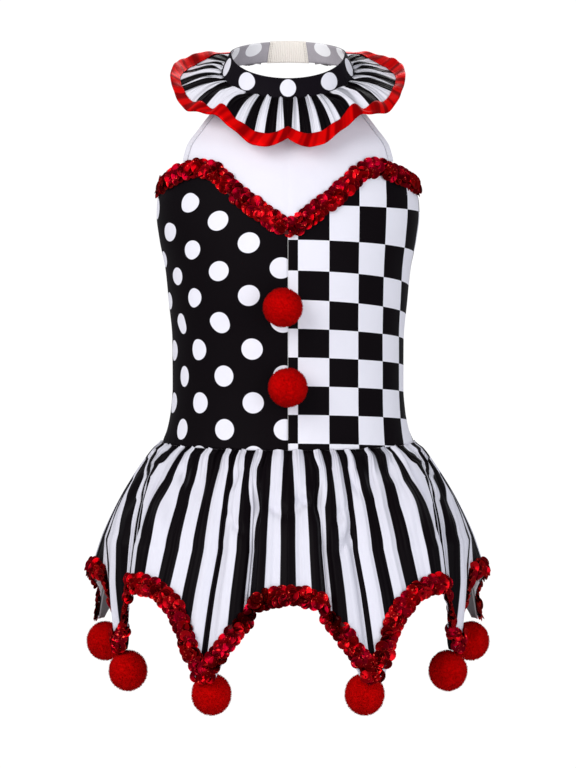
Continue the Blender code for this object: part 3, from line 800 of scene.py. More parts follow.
ruffle_grid = pushed(
    ruffle(ruffle_angles, ruffle_out), ruffle_facing(ruffle_angles, ruffle_out), ribbon_push(ruffle_out)
)
neck_ruffle = cloth(
    "neck_ruffle",
    ruffle_grid,
    ruffle_pairs,
    np.clip(1 - ruffle_out, 0, 1) ** GATHER_SHOWN_POWER,
    striped_ruffle,
    striped_back,
)
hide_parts("ruffle")

satin_finish = Finish(
    "red_satin", roughness=0.38, Metallic=0.3, Specular_IOR_Level=0.05, Specular_Tint=EDGE_RED
)
# Painted highlight and painted shade: noise along the ribbon mixes the bright and dark reds in bands across
# it.
satin_across, satin_down = satin_finish.flat()
satin_painted_sheen = satin_finish.streaks((satin_across + satin_down * SATIN_PAINTED_BAND_SLANT) * (1 / SATIN_PAINTED_BAND))
satin_painted_shade = satin_painted_sheen.below(0.5, SATIN_PAINTED_BAND_SOFTNESS)
satin_finish.give("Base Color", satin_finish.mix(satin_painted_shade, SATIN_PAINTED_HIGHLIGHT, SATIN_PAINTED_SHADE))
satin_finish.relief(satin_finish.grain(SATIN_CREASE), SATIN_RELIEF)
ribbon_angles = ruffle_angles[0]


def ribbon_line(f):
    out = np.full(RUFFLE_COLUMNS, blend(ribbon_start, 1, f))
    return pushed(ruffle(ribbon_angles, out), ruffle_facing(ribbon_angles, out), ribbon_push(out)[0])


ribbon_grid = folded(
    ribbon_line,
    lambda f: ruffle_facing(ribbon_angles, np.full(RUFFLE_COLUMNS, blend(ribbon_start, 1, f))),
    RIBBON_WIDTH,
    RIBBON_GAP,
    steps=8,
)
ribbon_run = lengths_along(ribbon_grid[len(ribbon_grid) // 2])
ribbon_down = lengths_along(ribbon_grid[:, RUFFLE_COLUMNS // 2])
ribbon = cloth(
    "ruffle_ribbon",
    ribbon_grid,
    ribbon_run[None, :],
    ribbon_down[:, None],
    satin_finish,
    thickness=RIBBON_CLOTH,
)
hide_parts("ruffle_binding")
ruffle_cut, ruffle_area = cut_size(ruffle_grid)
ribbon_cut, ribbon_area = cut_size(ribbon_grid)

# ---------------------------------------------------------------- yoke
# A halter piece of white stretch knit from the neckband to the sweetheart neckline. Its two armhole
# edges are bound with a narrow white strip, stitched down along its inner edge.
# Rings from the neck to the waist seam. level is the height at the side seam, front and back are how
# far the ring reaches forward and back, and front_drop is how much lower its front hangs.
BODY_RINGS = table(
    "level half_width front back front_drop",
    (-2, 52.6, 48, 43, 27),
    (-20, 63, 53, 50, 22),
    (-40, 82, 58, 57, 17),
    (-60, 96.5, 62, 62, 10),
    (-78, 100.5, 66, 65, 4),
    (-94, 101.5, 69, 66, 0),
    (-106, 104.4, 71.5, 67, 0),
    (-116, 104.8, 73, 68, 0),
    (-136, 102.4, 75.5, 69, 0),
    (-160, 97.6, 76.5, 69, 0),
    (-184, 95.2, 75.5, 68, 0),
    (-216, 92.2, 72, 67, 0),
    (-254, 92, 70.5, 68, 1.5),
    (-272, 93.4, 71.5, 70, 3),
    (-286, 96, 73, 72, 4.5),
    (-297, 100, 76, 74, 6),
)
# How far round the body the yoke reaches on each side, from the neckband down.
YOKE_EDGES = table(
    "level half_angle",
    (-2, 57),
    (-20, 56.5),
    (-40, 53),
    (-60, 52),
    (-78, 51.8),
    (-94, 51.5),
    (-140, 51.5),
)
# The sweetheart neckline from the centre front to the side seam, as levels on the body.
NECKLINE = table(
    "angle trim_top seam trim_bottom",
    (0, -123, -131, -138.8),
    (7, -115.5, -124.5, -133.5),
    (14, -104.5, -114.7, -125),
    (22, -94.5, -104, -114),
    (30, -80.5, -91.5, -102.5),
    (36, -74, -84, -93.7),
    (43, -71.5, -80.5, -89),
    (52, -75, -83.5, -92),
    (62, -79.5, -88, -96),
    (75, -84, -91, -98.2),
    (90, -86.4, -92.5, -98.7),
)
BACK_NECK_LEVEL = -165
WAIST_LEVEL = -297
SIDE_ANGLE = 90
YOKE_TOP = -3.0
YOKE_COLUMNS = 121
YOKE_ROWS = 90
YOKE_MOTTLE = ((14, 0.3), (0.9, 0.3))
YOKE_WEAR = 0.9
YOKE_RELIEF = 0.08
# How far above and below a place a form's slope is measured, in mm.
LEVEL_STEP = 0.5
BINDING_WIDTH = 5.0
BINDING_END_GAP = 1.5
BINDING_ROWS = 80
BINDING_CLOTH = 0.4
BINDING_MOTTLE = ((2.0, 0.6),)
BINDING_WEAR = 0.75
BINDING_WEAVE = 0.5
BINDING_RELIEF = 0.1
# Where the stitches lie across the binding's width, and how far they stand out from its middle.
BINDING_STITCH_AT = 0.14
BINDING_STITCH_OUT = 0.55
GREY_THREAD = (0.62, 0.62, 0.65)
GREY_THREAD_SHADE = (0.45, 0.45, 0.48)
YOKE_WHITE = (0.83, 0.82, 0.9)
BINDING_WHITE = (0.8, 0.8, 0.87)
BINDING_LAYER_GAP = 0.8
CENTRE_CREASE = 0.25
CENTRE_CREASE_ANGLE = 1.6


def body(angle, level):
    """The middle of the cloth on the body, from the neckband to the waist seam."""
    sizes = [smooth(BODY_RINGS, level, column) for column in ("half_width", "front", "back")]
    return ring(angle, *sizes, level, smooth(BODY_RINGS, level, "front_drop"))


def body_facing(angle, level):
    return facing(body, angle, level, ANGLE_STEP, -LEVEL_STEP)


def neckline(angle, column):
    """Levels of the sweetheart neckline, and of the bodice's plain back edge past the side seams."""
    angle = np.abs(angle)
    side = getattr(NECKLINE[-1], column)
    scoop = np.sin(np.radians(np.maximum(angle - SIDE_ANGLE, 0))) ** 2
    back = side + (BACK_NECK_LEVEL - NECKLINE[-1].seam) * scoop
    return np.where(angle <= SIDE_ANGLE, smooth(NECKLINE, angle, column), back)


foot = YOKE_EDGES[-1].half_angle
foot_angles = np.linspace(-foot, foot, YOKE_COLUMNS)[None, :]
yoke_down = np.linspace(0, 1, YOKE_ROWS)[:, None]
yoke_levels = blend(YOKE_TOP, neckline(foot_angles, "seam") + SEAM_GAP / 2, yoke_down)
yoke_angles = foot_angles / foot * smooth(YOKE_EDGES, yoke_levels, "half_angle")
yoke_push = -CENTRE_CREASE * ridge(yoke_angles / CENTRE_CREASE_ANGLE)
yoke_grid = pushed(body(yoke_angles, yoke_levels), body_facing(yoke_angles, yoke_levels), yoke_push)
white_knit = Finish("white_knit", roughness=0.6, **KNIT_FIXED)
white_shaded = white_knit.shaded(white_knit.mottle(YOKE_MOTTLE), YOKE_WHITE, YOKE_WEAR)
white_knit.give("Base Color", white_shaded)
white_knit.relief(white_knit.grain(KNIT_STITCH, KNIT_DETAIL), YOKE_RELIEF)
yoke = cloth("yoke", yoke_grid, foot_angles, yoke_down, white_knit)
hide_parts("yoke_front")
yoke_cut, yoke_area = cut_size(yoke_grid)

binding_finish = Finish("white_binding", roughness=0.6, **KNIT_FIXED)
binding_mottle = binding_finish.mottle(BINDING_MOTTLE)
binding_finish.give("Base Color", binding_finish.shaded(binding_mottle, BINDING_WHITE, BINDING_WEAR))
binding_finish.relief(binding_finish.grain(BINDING_WEAVE, KNIT_DETAIL), BINDING_RELIEF)
grey_thread = thread_finish("grey_thread", GREY_THREAD, GREY_THREAD_SHADE)
binding_foot = float(neckline(foot, "trim_top"))
binding_levels = np.linspace(YOKE_TOP - BINDING_END_GAP, binding_foot + BINDING_END_GAP, BINDING_ROWS)
binding_inner = smooth(YOKE_EDGES, binding_levels, "half_angle")


def binding_strip(side, f):
    """The line at a share of the binding's width, and its normals, on the side at +X or -X."""
    beyond = arc_angle(body, binding_inner, binding_levels, SEAM_GAP + BINDING_WIDTH * f)
    angle = side * (binding_inner + beyond)
    return body(angle, binding_levels), body_facing(angle, binding_levels)


for name, side in (("left", -1), ("right", 1)):
    grid = folded(
        lambda f: binding_strip(side, f)[0],
        lambda f: binding_strip(side, f)[1],
        BINDING_WIDTH,
        BINDING_LAYER_GAP,
        steps=5,
    )
    grid = np.swapaxes(grid, 0, 1)
    if side < 0:
        grid = grid[:, ::-1]
    across, down = lengths_along(grid[0])[None, :], lengths_along(grid[:, 0])[:, None]
    binding = cloth(f"binding_{name}", grid, across, down, binding_finish, thickness=BINDING_CLOTH)
    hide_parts(f"armhole_binding_{name}")
    line, out = binding_strip(side, BINDING_STITCH_AT)
    line = pushed(line, out, np.full(BINDING_ROWS, BINDING_STITCH_OUT))
    sewn = stitches(f"binding_stitches_{name}", line, out, grey_thread, width=0.3)
    binding_cut, binding_area = cut_size(grid)

# ---------------------------------------------------------------- bodice
# Four panels of stretch knit, black with white dots on the wearer's right and checked on the left,
# sewn together down the centres and the sides. The knit fits closely down to the waist seam.
PANEL_COLUMNS = 90
PANEL_ROWS = 120
DOT_COLUMN = 25.2
DOT_FIRST = 5.4
DOT_ROW = 41.6
DOT_LEVEL = -203.8
DOT_WIDTH = 17.5
DOT_SQUASH = 1.07
DOT_SOFTNESS = 0.22
CHECK_COLUMN = 24.6
CHECK_FIRST = 7.7
CHECK_ROW = 22.2
CHECK_LEVEL = -297.7
BODICE_SHEEN = 0.018
SAG_ARC = 80
SAG_POWER = 1.7
LEAN_GROWTH = 1.6
LEAN_MOST = 1.3
SIDE_ARCS = (78, 104)
# How the stretched knit carries its print, from the neckline down: lift raises it all across, sag
# lowers it at SAG_ARC from the centre and more beyond, up to most times as much. lean carries it towards
# the centre, the more the further out, and side is added to that, growing in from 0 across SIDE_ARCS.
DOT_SHIFTS = table(
    "level lift sag most lean side",
    (-75, 0, 2.0, 0.8, 0, 0),
    (-84, 0, 5.0, 0.8, 0, 0),
    (-92, 0, 9.5, 0.7, 0, 0),
    (-100, 0, 12.8, 0.8, 0, 0),
    (-110, 0, 11.0, 1.03, 0, 0),
    (-120, 0, 8.6, 1.4, 0, 0),
    (-132, 0, 7.1, 1.7, 0, 0),
    (-147, 0, 5.4, 3, 0, 3),
    (-165, 0, 3.2, 3, 0, 6),
    (-183, 0, 1.2, 3, 0, 9),
    (-200, 0, 0, 3, 0, 10.5),
    (-212, 0, 0, 3, 1.6, 10.5),
    (-254, 0, 0, 3, 2.7, 8),
    (-297, 0, 0, 3, 3.2, 2),
)
CHECK_SHIFTS = table(
    "level lift sag most lean side",
    (-75, 11.0, 0, 3, 0, 0),
    (-88, 9.8, 0, 3, 0, 0),
    (-114, 6.6, 0.2, 3, 0, 0),
    (-128, 4.2, 0.9, 3, 0, 0),
    (-141, 1.8, 1.8, 3, 0, 0),
    (-165, 0.3, 3.4, 3, 0, 0),
    (-190, 0, 4.1, 3, 0, 0),
    (-212, 0, 3.2, 3, 0, 0),
    (-254, 0, 2.1, 3, 0, 0),
    (-297, 0, 1.8, 3, 0, 0),
)
ARC_STEPS = 24
SEAM_WIDTH = 1.6
SEAM_DEPTH = 0.5
WAIST_PUCKER = 0.35
WAIST_PUCKER_REACH = 14
WAIST_PUCKER_RATE = 0.55


def bodice_dots(finish):
    """Dots in upright columns, every second column half a step lower."""
    across, down = finish.flat()
    across = (across - DOT_FIRST) * (1 / DOT_COLUMN) + 0.5
    odd = across.work("FLOOR").beyond_whole(2.0)
    down = (down - DOT_LEVEL) * (1 / DOT_ROW) - odd * 0.5 + 0.5
    dx = (across.beyond_whole() - 0.5) * DOT_COLUMN
    dy = (down.beyond_whole() - 0.5) * (DOT_ROW * DOT_SQUASH)
    return ((dx**2 + dy**2) ** 0.5).below(DOT_WIDTH / 2, DOT_SOFTNESS)


def bodice_checks(finish):
    across, down = finish.flat()
    column = ((across - CHECK_FIRST) * (1 / CHECK_COLUMN)).work("FLOOR")
    row = ((down - CHECK_LEVEL) * (1 / CHECK_ROW)).work("FLOOR")
    return 1 - (column + row).beyond_whole(2.0)


dotted_knit = knit_finish("dotted_knit", bodice_dots, Sheen_Weight=BODICE_SHEEN)
dotted_knit_back = knit_finish("dotted_knit_back", bodice_dots, WRONG_BLACK, WRONG_WHITE)
checked_knit = knit_finish("checked_knit", bodice_checks, Sheen_Weight=BODICE_SHEEN)
checked_knit_back = knit_finish("checked_knit_back", bodice_checks, WRONG_BLACK, WRONG_WHITE)


def arc_from(start, angles, levels):
    """How far round the body places lie from a starting angle, each measured at its own level."""
    shares = np.linspace(0, 1, ARC_STEPS)
    way = blend(start, angles[..., None], shares)
    line = body(way, levels[..., None] + 0 * shares)
    return np.linalg.norm(np.diff(line, axis=-2), axis=-1).sum(axis=-1)


def bodice_panel(name, side, in_front, shifts, finish, wrong_side, slot):
    """One panel, from its top edge to the waist seam. side is 1 at +X and -1 at -X."""
    near, far = (0, side * SIDE_ANGLE) if in_front else (side * 180, side * SIDE_ANGLE)
    gap = math.copysign(arc_angle(body, 45, WAIST_LEVEL, SEAM_GAP / 2), far - near)
    angles = np.linspace(near + gap, far - gap, PANEL_COLUMNS)[None, :]
    if angles[0, -1] < angles[0, 0]:
        angles = angles[:, ::-1]
    down = np.linspace(0, 1, PANEL_ROWS)[:, None]
    levels = blend(neckline(angles, "seam") - SEAM_GAP / 2, WAIST_LEVEL, down)
    places, out = body(angles, levels), body_facing(angles, levels)
    arcs = arc_from(near, angles, levels)
    to_side = arc_from(side * SIDE_ANGLE, angles, levels)
    push = -SEAM_DEPTH * (ridge(arcs / SEAM_WIDTH) + ridge(to_side / SEAM_WIDTH))
    above_waist = np.clip((levels - WAIST_LEVEL) / WAIST_PUCKER_REACH, 0, 1)
    push = push + WAIST_PUCKER * wander(arcs * WAIST_PUCKER_RATE, side + 3) * (1 - above_waist) ** 2
    grid = pushed(places, out, push)
    lift, sag, most, lean, side_lean = (
        smooth(shifts, levels, column) for column in ("lift", "sag", "most", "lean", "side")
    )
    drop = sag * np.minimum((arcs / SAG_ARC) ** SAG_POWER, most) - lift
    across = arcs + lean * (1 + LEAN_GROWTH * np.minimum(arcs / SAG_ARC, LEAN_MOST) ** 2)
    across = across + side_lean * np.interp(arcs, SIDE_ARCS, (0, 1))
    panel = cloth(f"{name}_cloth", grid, across, places[..., 2] + drop, finish, wrong_side)
    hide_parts(name)
    return panel, cut_size(grid)


dotted_panel = (DOT_SHIFTS, dotted_knit, dotted_knit_back, "dotted_cloth")
checked_panel = (CHECK_SHIFTS, checked_knit, checked_knit_back, "checked_cloth")
panels = {
    "bodice_front_dots": bodice_panel("bodice_front_dots", -1, True, *dotted_panel),
    "bodice_front_check": bodice_panel("bodice_front_check", 1, True, *checked_panel),
    "bodice_back_check": bodice_panel("bodice_back_check", 1, False, *checked_panel),
    "bodice_back_dots": bodice_panel("bodice_back_dots", -1, False, *dotted_panel),
}

# ---------------------------------------------------------------- neckline trim
# A braid of red sequins sewn over the sweetheart seam, round the front from side to side. Small cupped
# sequins overlap three deep on a narrow backing tape, each caught by a thread through its middle.
SEQUIN_RADIUS = 4.9
SEQUIN_BASE = 2.3
SEQUIN_HOLE = 0.6
SEQUIN_CUP = 1.0
SEQUIN_SIDES = 14
SEQUIN_LEAN = 13
SEQUIN_TILT = 9
SEQUIN_ROLL = 2.5
SEQUIN_SLIP = 0.9
SEQUIN_STRAY = 0.8
SEQUIN_LEAST = 0.9
SEQUIN_MOST = 1.05
# The rows of sequins: how far from the braid's middle, how far apart, where the first is and how high.
BRAID_ROWS = table(
    "shift step start lift",
    (-3.6, 6.0, 0.2, 1.3),
    (3.6, 6.0, 0.7, 1.6),
    (0.0, 7.2, 0.45, 2.3),
)
BRAID_LIFT_SPREAD = 0.5
BRAID_SIDE_DROP = 3.5
BRAID_SIDE_FROM = 60
TRIM_END_ANGLE = 88.8
TRIM_POINTS = 700
BACKING_WIDTH = 11.0
BACKING_LIFT = 0.7
# The sequins' colours: a painted dark, a painted highlight and a painted glint are among them.
SEQUIN_PAINTED_DARK = (0.045, 0.0, 0.001)
SEQUIN_RED = (0.22, 0.0, 0.0015)
SEQUIN_CRIMSON = (0.2, 0.0, 0.008)
SEQUIN_PAINTED_HIGHLIGHT = (0.4, 0.003, 0.006)
SEQUIN_PAINTED_GLINT = (1.0, 0.11, 0.06)
BACKING_COLOUR = (0.05, 0.0, 0.002)
BACKING_LIGHT = (0.12, 0, 0)
BACKING_WEAVE = 0.6
# Patches of the braid are crimson. Each sequin has a number from 0 to 1 for its painted reflection: low
# ones are painted darker and the highest get a painted highlight. Every rim gets a painted highlight, and
# specks near the rims are painted glints.
SEQUIN_PATCH = 14.0
SEQUIN_PATCH_SOFTNESS = 0.08
SEQUIN_PAINTED_SHADE_RATE = 1.7
SEQUIN_SOFTNESS = 0.06
SEQUIN_PAINTED_HIGHLIGHT_FROM = 0.86
SEQUIN_PAINTED_HIGHLIGHT_SHARE = 0.8
SEQUIN_PAINTED_RIM_FROM = 0.92
SEQUIN_PAINTED_RIM_SHARE = 0.45
GLINT_AND_BUMP_GRAIN = 1.3
PAINTED_GLINT_FROM = 0.74
PAINTED_GLINT_SOFTNESS = 0.03
PAINTED_GLINT_REACH = 0.6
PAINTED_GLINT_REACH_SOFTNESS = 0.1
PAINTED_GLINT_SHARE = 0.5
SEQUIN_RELIEF = 0.05

sequin_finish = Finish("red_sequins", roughness=0.24, Metallic=0.9, Specular_Tint=EDGE_RED)
sequin_painted_light_number, sequin_ring = sequin_finish.flat()
sequin_patch = sequin_finish.grain(SEQUIN_PATCH, 0.0).below(0.5, SEQUIN_PATCH_SOFTNESS)
sequin_mid = sequin_finish.mix(sequin_patch, SEQUIN_RED, SEQUIN_CRIMSON)
# Painted shade: sequins with low numbers are painted darker, as if they mirrored something dark.
sequin_painted_darkening = (sequin_painted_light_number * SEQUIN_PAINTED_SHADE_RATE).work("MINIMUM", 1.0)
sequin_painted_shade = sequin_finish.mix(sequin_painted_darkening, SEQUIN_PAINTED_DARK, sequin_mid)
# Painted highlight: the sequins with the highest numbers are painted brighter.
sequin_painted_lit = 1 - sequin_painted_light_number.below(SEQUIN_PAINTED_HIGHLIGHT_FROM, SEQUIN_SOFTNESS)
# Painted highlight: every sequin's rim is painted brighter.
sequin_painted_rim = 1 - sequin_ring.below(SEQUIN_PAINTED_RIM_FROM, SEQUIN_SOFTNESS)
sequin_painted_highlight = sequin_painted_lit * SEQUIN_PAINTED_HIGHLIGHT_SHARE + sequin_painted_rim * SEQUIN_PAINTED_RIM_SHARE
sequin_colour = sequin_finish.mix(sequin_painted_highlight, sequin_painted_shade, SEQUIN_PAINTED_HIGHLIGHT)
# Painted glints: specks of this noise near each rim are painted a bright orange red. The same noise also
# bumps the surface.
sequin_glint_and_bump_grain = sequin_finish.grain(GLINT_AND_BUMP_GRAIN, 0.0)
sequin_painted_glint = 1 - sequin_glint_and_bump_grain.below(PAINTED_GLINT_FROM, PAINTED_GLINT_SOFTNESS)
sequin_painted_glint = sequin_painted_glint * (1 - sequin_ring.below(PAINTED_GLINT_REACH, PAINTED_GLINT_REACH_SOFTNESS))
sequin_finish.give("Base Color", sequin_finish.mix(sequin_painted_glint * PAINTED_GLINT_SHARE, sequin_colour, SEQUIN_PAINTED_GLINT))
sequin_finish.relief(sequin_glint_and_bump_grain, SEQUIN_RELIEF)
backing_finish = Finish("braid_backing", roughness=0.8)
backing_weave = backing_finish.grain(BACKING_WEAVE)
backing_finish.give("Base Color", backing_finish.mix(backing_weave, BACKING_COLOUR, BACKING_LIGHT))


def sequin_disc():
    """The points and faces of one cupped sequin, and how far each point is towards its rim."""
    turns = np.linspace(0, 2 * math.pi, SEQUIN_SIDES, endpoint=False)
    rings = ((SEQUIN_HOLE, 0, 0), (SEQUIN_BASE, 0, 0.5), (SEQUIN_RADIUS, SEQUIN_CUP, 1))
    places = np.array([(r * math.cos(t), r * math.sin(t), height) for r, height, _ in rings for t in turns])
    n = np.arange(SEQUIN_SIDES)
    beside = (n + 1) % SEQUIN_SIDES
    ring_faces = np.stack([n, n + SEQUIN_SIDES, beside + SEQUIN_SIDES, beside], -1)
    to_rim = np.array([share for _, _, share in rings for _ in turns])
    return places, np.concatenate([ring_faces, ring_faces + SEQUIN_SIDES]), to_rim


def sequin_braid(name, line, out, seed, tips=(), width=1.0):
    """Cupped sequins in rows along a line of points on the cloth, over their backing tape. tips are more
    places that sequins cover, each with its normal and size. width is 1, or less where it is bunched."""
    rng = np.random.default_rng(seed)
    disc, disc_faces, to_rim = sequin_disc()
    run = lengths_along(line)
    along = unit(np.gradient(line, axis=0))
    across = unit(np.cross(out, along))
    width = np.broadcast_to(width, run.shape)
    spots = []
    for row in BRAID_ROWS:
        count = int(run[-1] / row.step)
        for n in range(count):
            s = (n + row.start) * run[-1] / count + rng.uniform(-SEQUIN_SLIP, SEQUIN_SLIP)
            p, q, t, b = (
                np.array([np.interp(s, run, v[:, axis]) for axis in range(3)])
                for v in (line, out, along, across)
            )
            size = np.interp(s, run, width)
            middle = p + b * (row.shift + rng.uniform(-SEQUIN_STRAY, SEQUIN_STRAY)) * size + q * row.lift
            spots.append((middle, unit(q), unit(t), b, row.shift, size))
    for p, q, size in tips:
        t = unit(np.cross((0, 0, 1), q))
        spots.append((p + q * BRAID_ROWS[-1].lift, q, t, np.cross(q, t), 0, size))
    places, faces, flat = [], [], []
    for start, (middle, q, t, b, shift, size) in enumerate(spots):
        lean = math.radians(SEQUIN_LEAN + rng.normal(0, SEQUIN_TILT)) * (1 if middle[0] < 0 else -1)
        roll = math.radians(rng.normal(0, SEQUIN_TILT) + shift * SEQUIN_ROLL)
        up = unit(q + t * math.tan(lean) + b * math.tan(roll))
        x = unit(np.cross(t, up))
        middle = middle + q * rng.uniform(0, BRAID_LIFT_SPREAD)
        size = rng.uniform(SEQUIN_LEAST, SEQUIN_MOST) * size**0.5
        places.append(middle + size * (disc @ np.array([x, np.cross(up, x), up])))
        faces.append(disc_faces + start * len(disc))
        # Each sequin's number for its painted reflection, and how far each point lies towards the rim.
        flat.append(np.stack([np.full(len(disc), rng.uniform()), to_rim], -1))
    half = (BACKING_WIDTH / 2 * width)[:, None]
    back = np.array([pushed(line + across * f * half, out, BACKING_LIFT) for f in (-1, 0, 1)])
    backing_faces = grid_quads(3, len(line)) + len(spots) * len(disc)
    braid = make_piece(
        name,
        np.concatenate([*places, back.reshape(-1, 3)]),
        np.concatenate([*faces, backing_faces]),
        np.concatenate([*flat, np.zeros((3 * len(line), 2))]),
        [sequin_finish, backing_finish],
        [0] * (len(spots) * len(disc_faces)) + [1] * len(backing_faces),
    )
    return braid


trim_angles = np.linspace(-TRIM_END_ANGLE, TRIM_END_ANGLE, TRIM_POINTS)
trim_levels = (neckline(trim_angles, "trim_top") + neckline(trim_angles, "trim_bottom")) / 2
to_side_seam = (np.abs(trim_angles) - BRAID_SIDE_FROM) / (SIDE_ANGLE - BRAID_SIDE_FROM)
trim_levels -= BRAID_SIDE_DROP * np.clip(to_side_seam, 0, 1)
neckline_braid = sequin_braid(
    "neckline_braid", body(trim_angles, trim_levels), body_facing(trim_angles, trim_levels), 11
)
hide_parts("neckline_trim")

# ---------------------------------------------------------------- skirt
# A striped knit skirt, gathered into the waist seam and cut at the hem into arches and eight points.
# Its front half falls in deep folds at the sides. A sequin braid is sewn round the hem.
SKIRT_RINGS = table(
    "level half_width front back",
    (-297, 100, 76, 74),
    (-302, 106, 82, 80),
    (-313, 115, 91, 89),
    (-326, 124, 100, 98),
    (-338, 131, 107, 106),
    (-357, 140, 118, 116),
    (-372, 146, 123, 123),
    (-390, 152, 128, 129),
    (-406, 157, 132, 134),
    (-450, 165, 137, 141),
    (-480, 168, 139, 144),
)
SKIRT_FRONT_DROP = 6
HIP_LEVEL = -372
TIP_LEVEL = -460
PAIRS_TO_SIDE = 11
PAIR_STEP = 0.06
# How much of the waist seam one gathered stripe pair takes up.
WAIST_PAIR = 12.5
GATHER_DEPTH = 1.8
GATHER_LENGTH = 34
FOLD_START = 1.3
ROW_SPREAD = 1.25
# Crests and hollows of the skirt's front from the centre to the side seam. pair counts black and white
# stripe pairs along the flat cloth, waist, hip and tip are the angles where that place lies at those
# levels, and the pushes are how far it stands out of (or sinks into) the plain ring.
FOLDS = table(
    "pair waist hip tip hip_push tip_push",
    (0, 0, 0, 0, 2, 2),
    (0.5, 4.4, 4, 4.4, -1.5, -1.5),
    (1, 8.7, 8, 8.6, 2, 2),
    (1.5, 12.1, 10.6, 11.6, -6, -5),
    (2, 15.5, 13.3, 14.6, 2, 2),
    (2.5, 19.1, 16.9, 18.4, 2.5, 2),
    (3, 22.8, 20.3, 22, -4, -1),
    (3.5, 26.7, 23.6, 25.5, 2, 3),
    (4, 30.6, 27.2, 29, 2, 3),
    (5, 40.7, 35, 36.5, 7, 7),
    (6, 50.2, 43, 44, 15, 2),
    (6.4, 53.8, 47.2, 46.4, 13, 0),
    (7.15, 61, 52.5, 51.8, -7, -3),
    (7.6, 66, 55.5, 57.5, -3, -19),
    (8, 71, 59.5, 61, 4, -26),
    (8.5, 75, 65, 65.3, 5, -19),
    (9, 79, 71, 72, 4, -34),
    (10, 85, 81, 80.5, 0, -32),
    (11, 90, 90, 90, 0, 0),
)
BACK_FOLD_PUSH = 3.5
BACK_FOLDS = 4.75
# Arches and tips of the hem in turn, from the centre front to the centre back: the levels of the trim's
# upper and lower edges there.
HEM = table(
    "pair top bottom",
    (0, -398.5, -411),
    (3, -453, -472),
    (6, -393, -406),
    (8.5, -440, -459),
    (11, -390.5, -404.5),
    (13.7, -428, -446),
    (16.4, -388, -402),
    (19.2, -427, -446),
    (22, -388, -402),
)
ARCH_POWER = 2.3
LEVEL_TIP_START = 0.86
PAIR_COLUMNS = 14
SKIRT_ROWS = 64
SKIRT_FINE_GATHER = 0.8
SKIRT_FINE_RATE = 7.1
SKIRT_FINE_POWER = 1.5
# The white stripes puff up over the waist seam, and the gathers show, down to these shares of the length.
SKIRT_PUFF = 1.2
SKIRT_PUFF_REACH = 0.05
GATHER_SHOWN_REACH = 0.25
STRIPE_WIDTH = 24.0
# Painted shade: the skirt's white is painted darker than the same knit's white in the ruffle and bodice, so
# that the skirt looks less lit.
SKIRT_PAINTED_SHADE_WHITE = (0.76, 0.755, 0.84)
HEM_ABOVE_TRIM = 3.0
CREASE_DEPTH = 2.7
# Soft troughs in the skirt, and ridges where the depth is minus: where the middle lies, the half length and
# half width, how the line leans from upright in degrees, and the depth.
CREASES = table(
    "pair level reach width lean depth",
    (0.45, -337, 13, 5, 28, 1.5),
    (0.62, -333, 10, 4, -30, 1.2),
    (1.3, -334, 20, 4, 4, 1.6),
    (2.35, -346, 12, 4, 32, 1.3),
    (2.6, -366, 18, 5, 24, 1.4),
    (3.4, -322, 16, 4, -12, 1.2),
    (4.4, -318, 18, 5, 10, 1.5),
    (5.35, -313, 13, 5, 18, 1.8),
    (5.6, -342, 24, 6, 6, -1.4),
    (6.9, -330, 26, 5, -6, 1.6),
    (8.6, -335, 28, 6, 8, 1.5),
    (10.2, -325, 20, 6, -10, 1.2),
    (-0.5, -340, 12, 5, -26, 1.4),
    (-1.35, -338, 22, 4, -4, 1.6),
    (-2.4, -352, 14, 4, -30, 1.3),
    (-2.7, -318, 14, 4, 14, 1.2),
    (-4.5, -322, 20, 5, -10, 1.5),
    (-5.4, -316, 14, 5, -18, 1.6),
    (-5.7, -348, 24, 6, -6, -1.3),
    (-7.0, -334, 24, 5, 6, 1.6),
    (-8.4, -330, 26, 6, -8, 1.5),
    (-10.0, -328, 22, 6, 8, 1.2),
    (12.6, -322, 20, 6, 6, 1.5),
    (14.4, -330, 26, 6, -8, 1.6),
    (16.2, -316, 14, 4, 16, 1.2),
    (18.1, -328, 24, 6, 5, 1.5),
    (20.3, -335, 18, 5, -14, 1.4),
    (21.8, -320, 16, 5, 10, 1.2),
    (-12.9, -326, 22, 6, -6, 1.5),
    (-14.8, -318, 18, 5, 10, 1.4),
    (-17.0, -332, 26, 6, -6, 1.6),
    (-19.2, -320, 16, 5, 12, 1.3),
    (-20.9, -334, 20, 6, -9, 1.4),
)
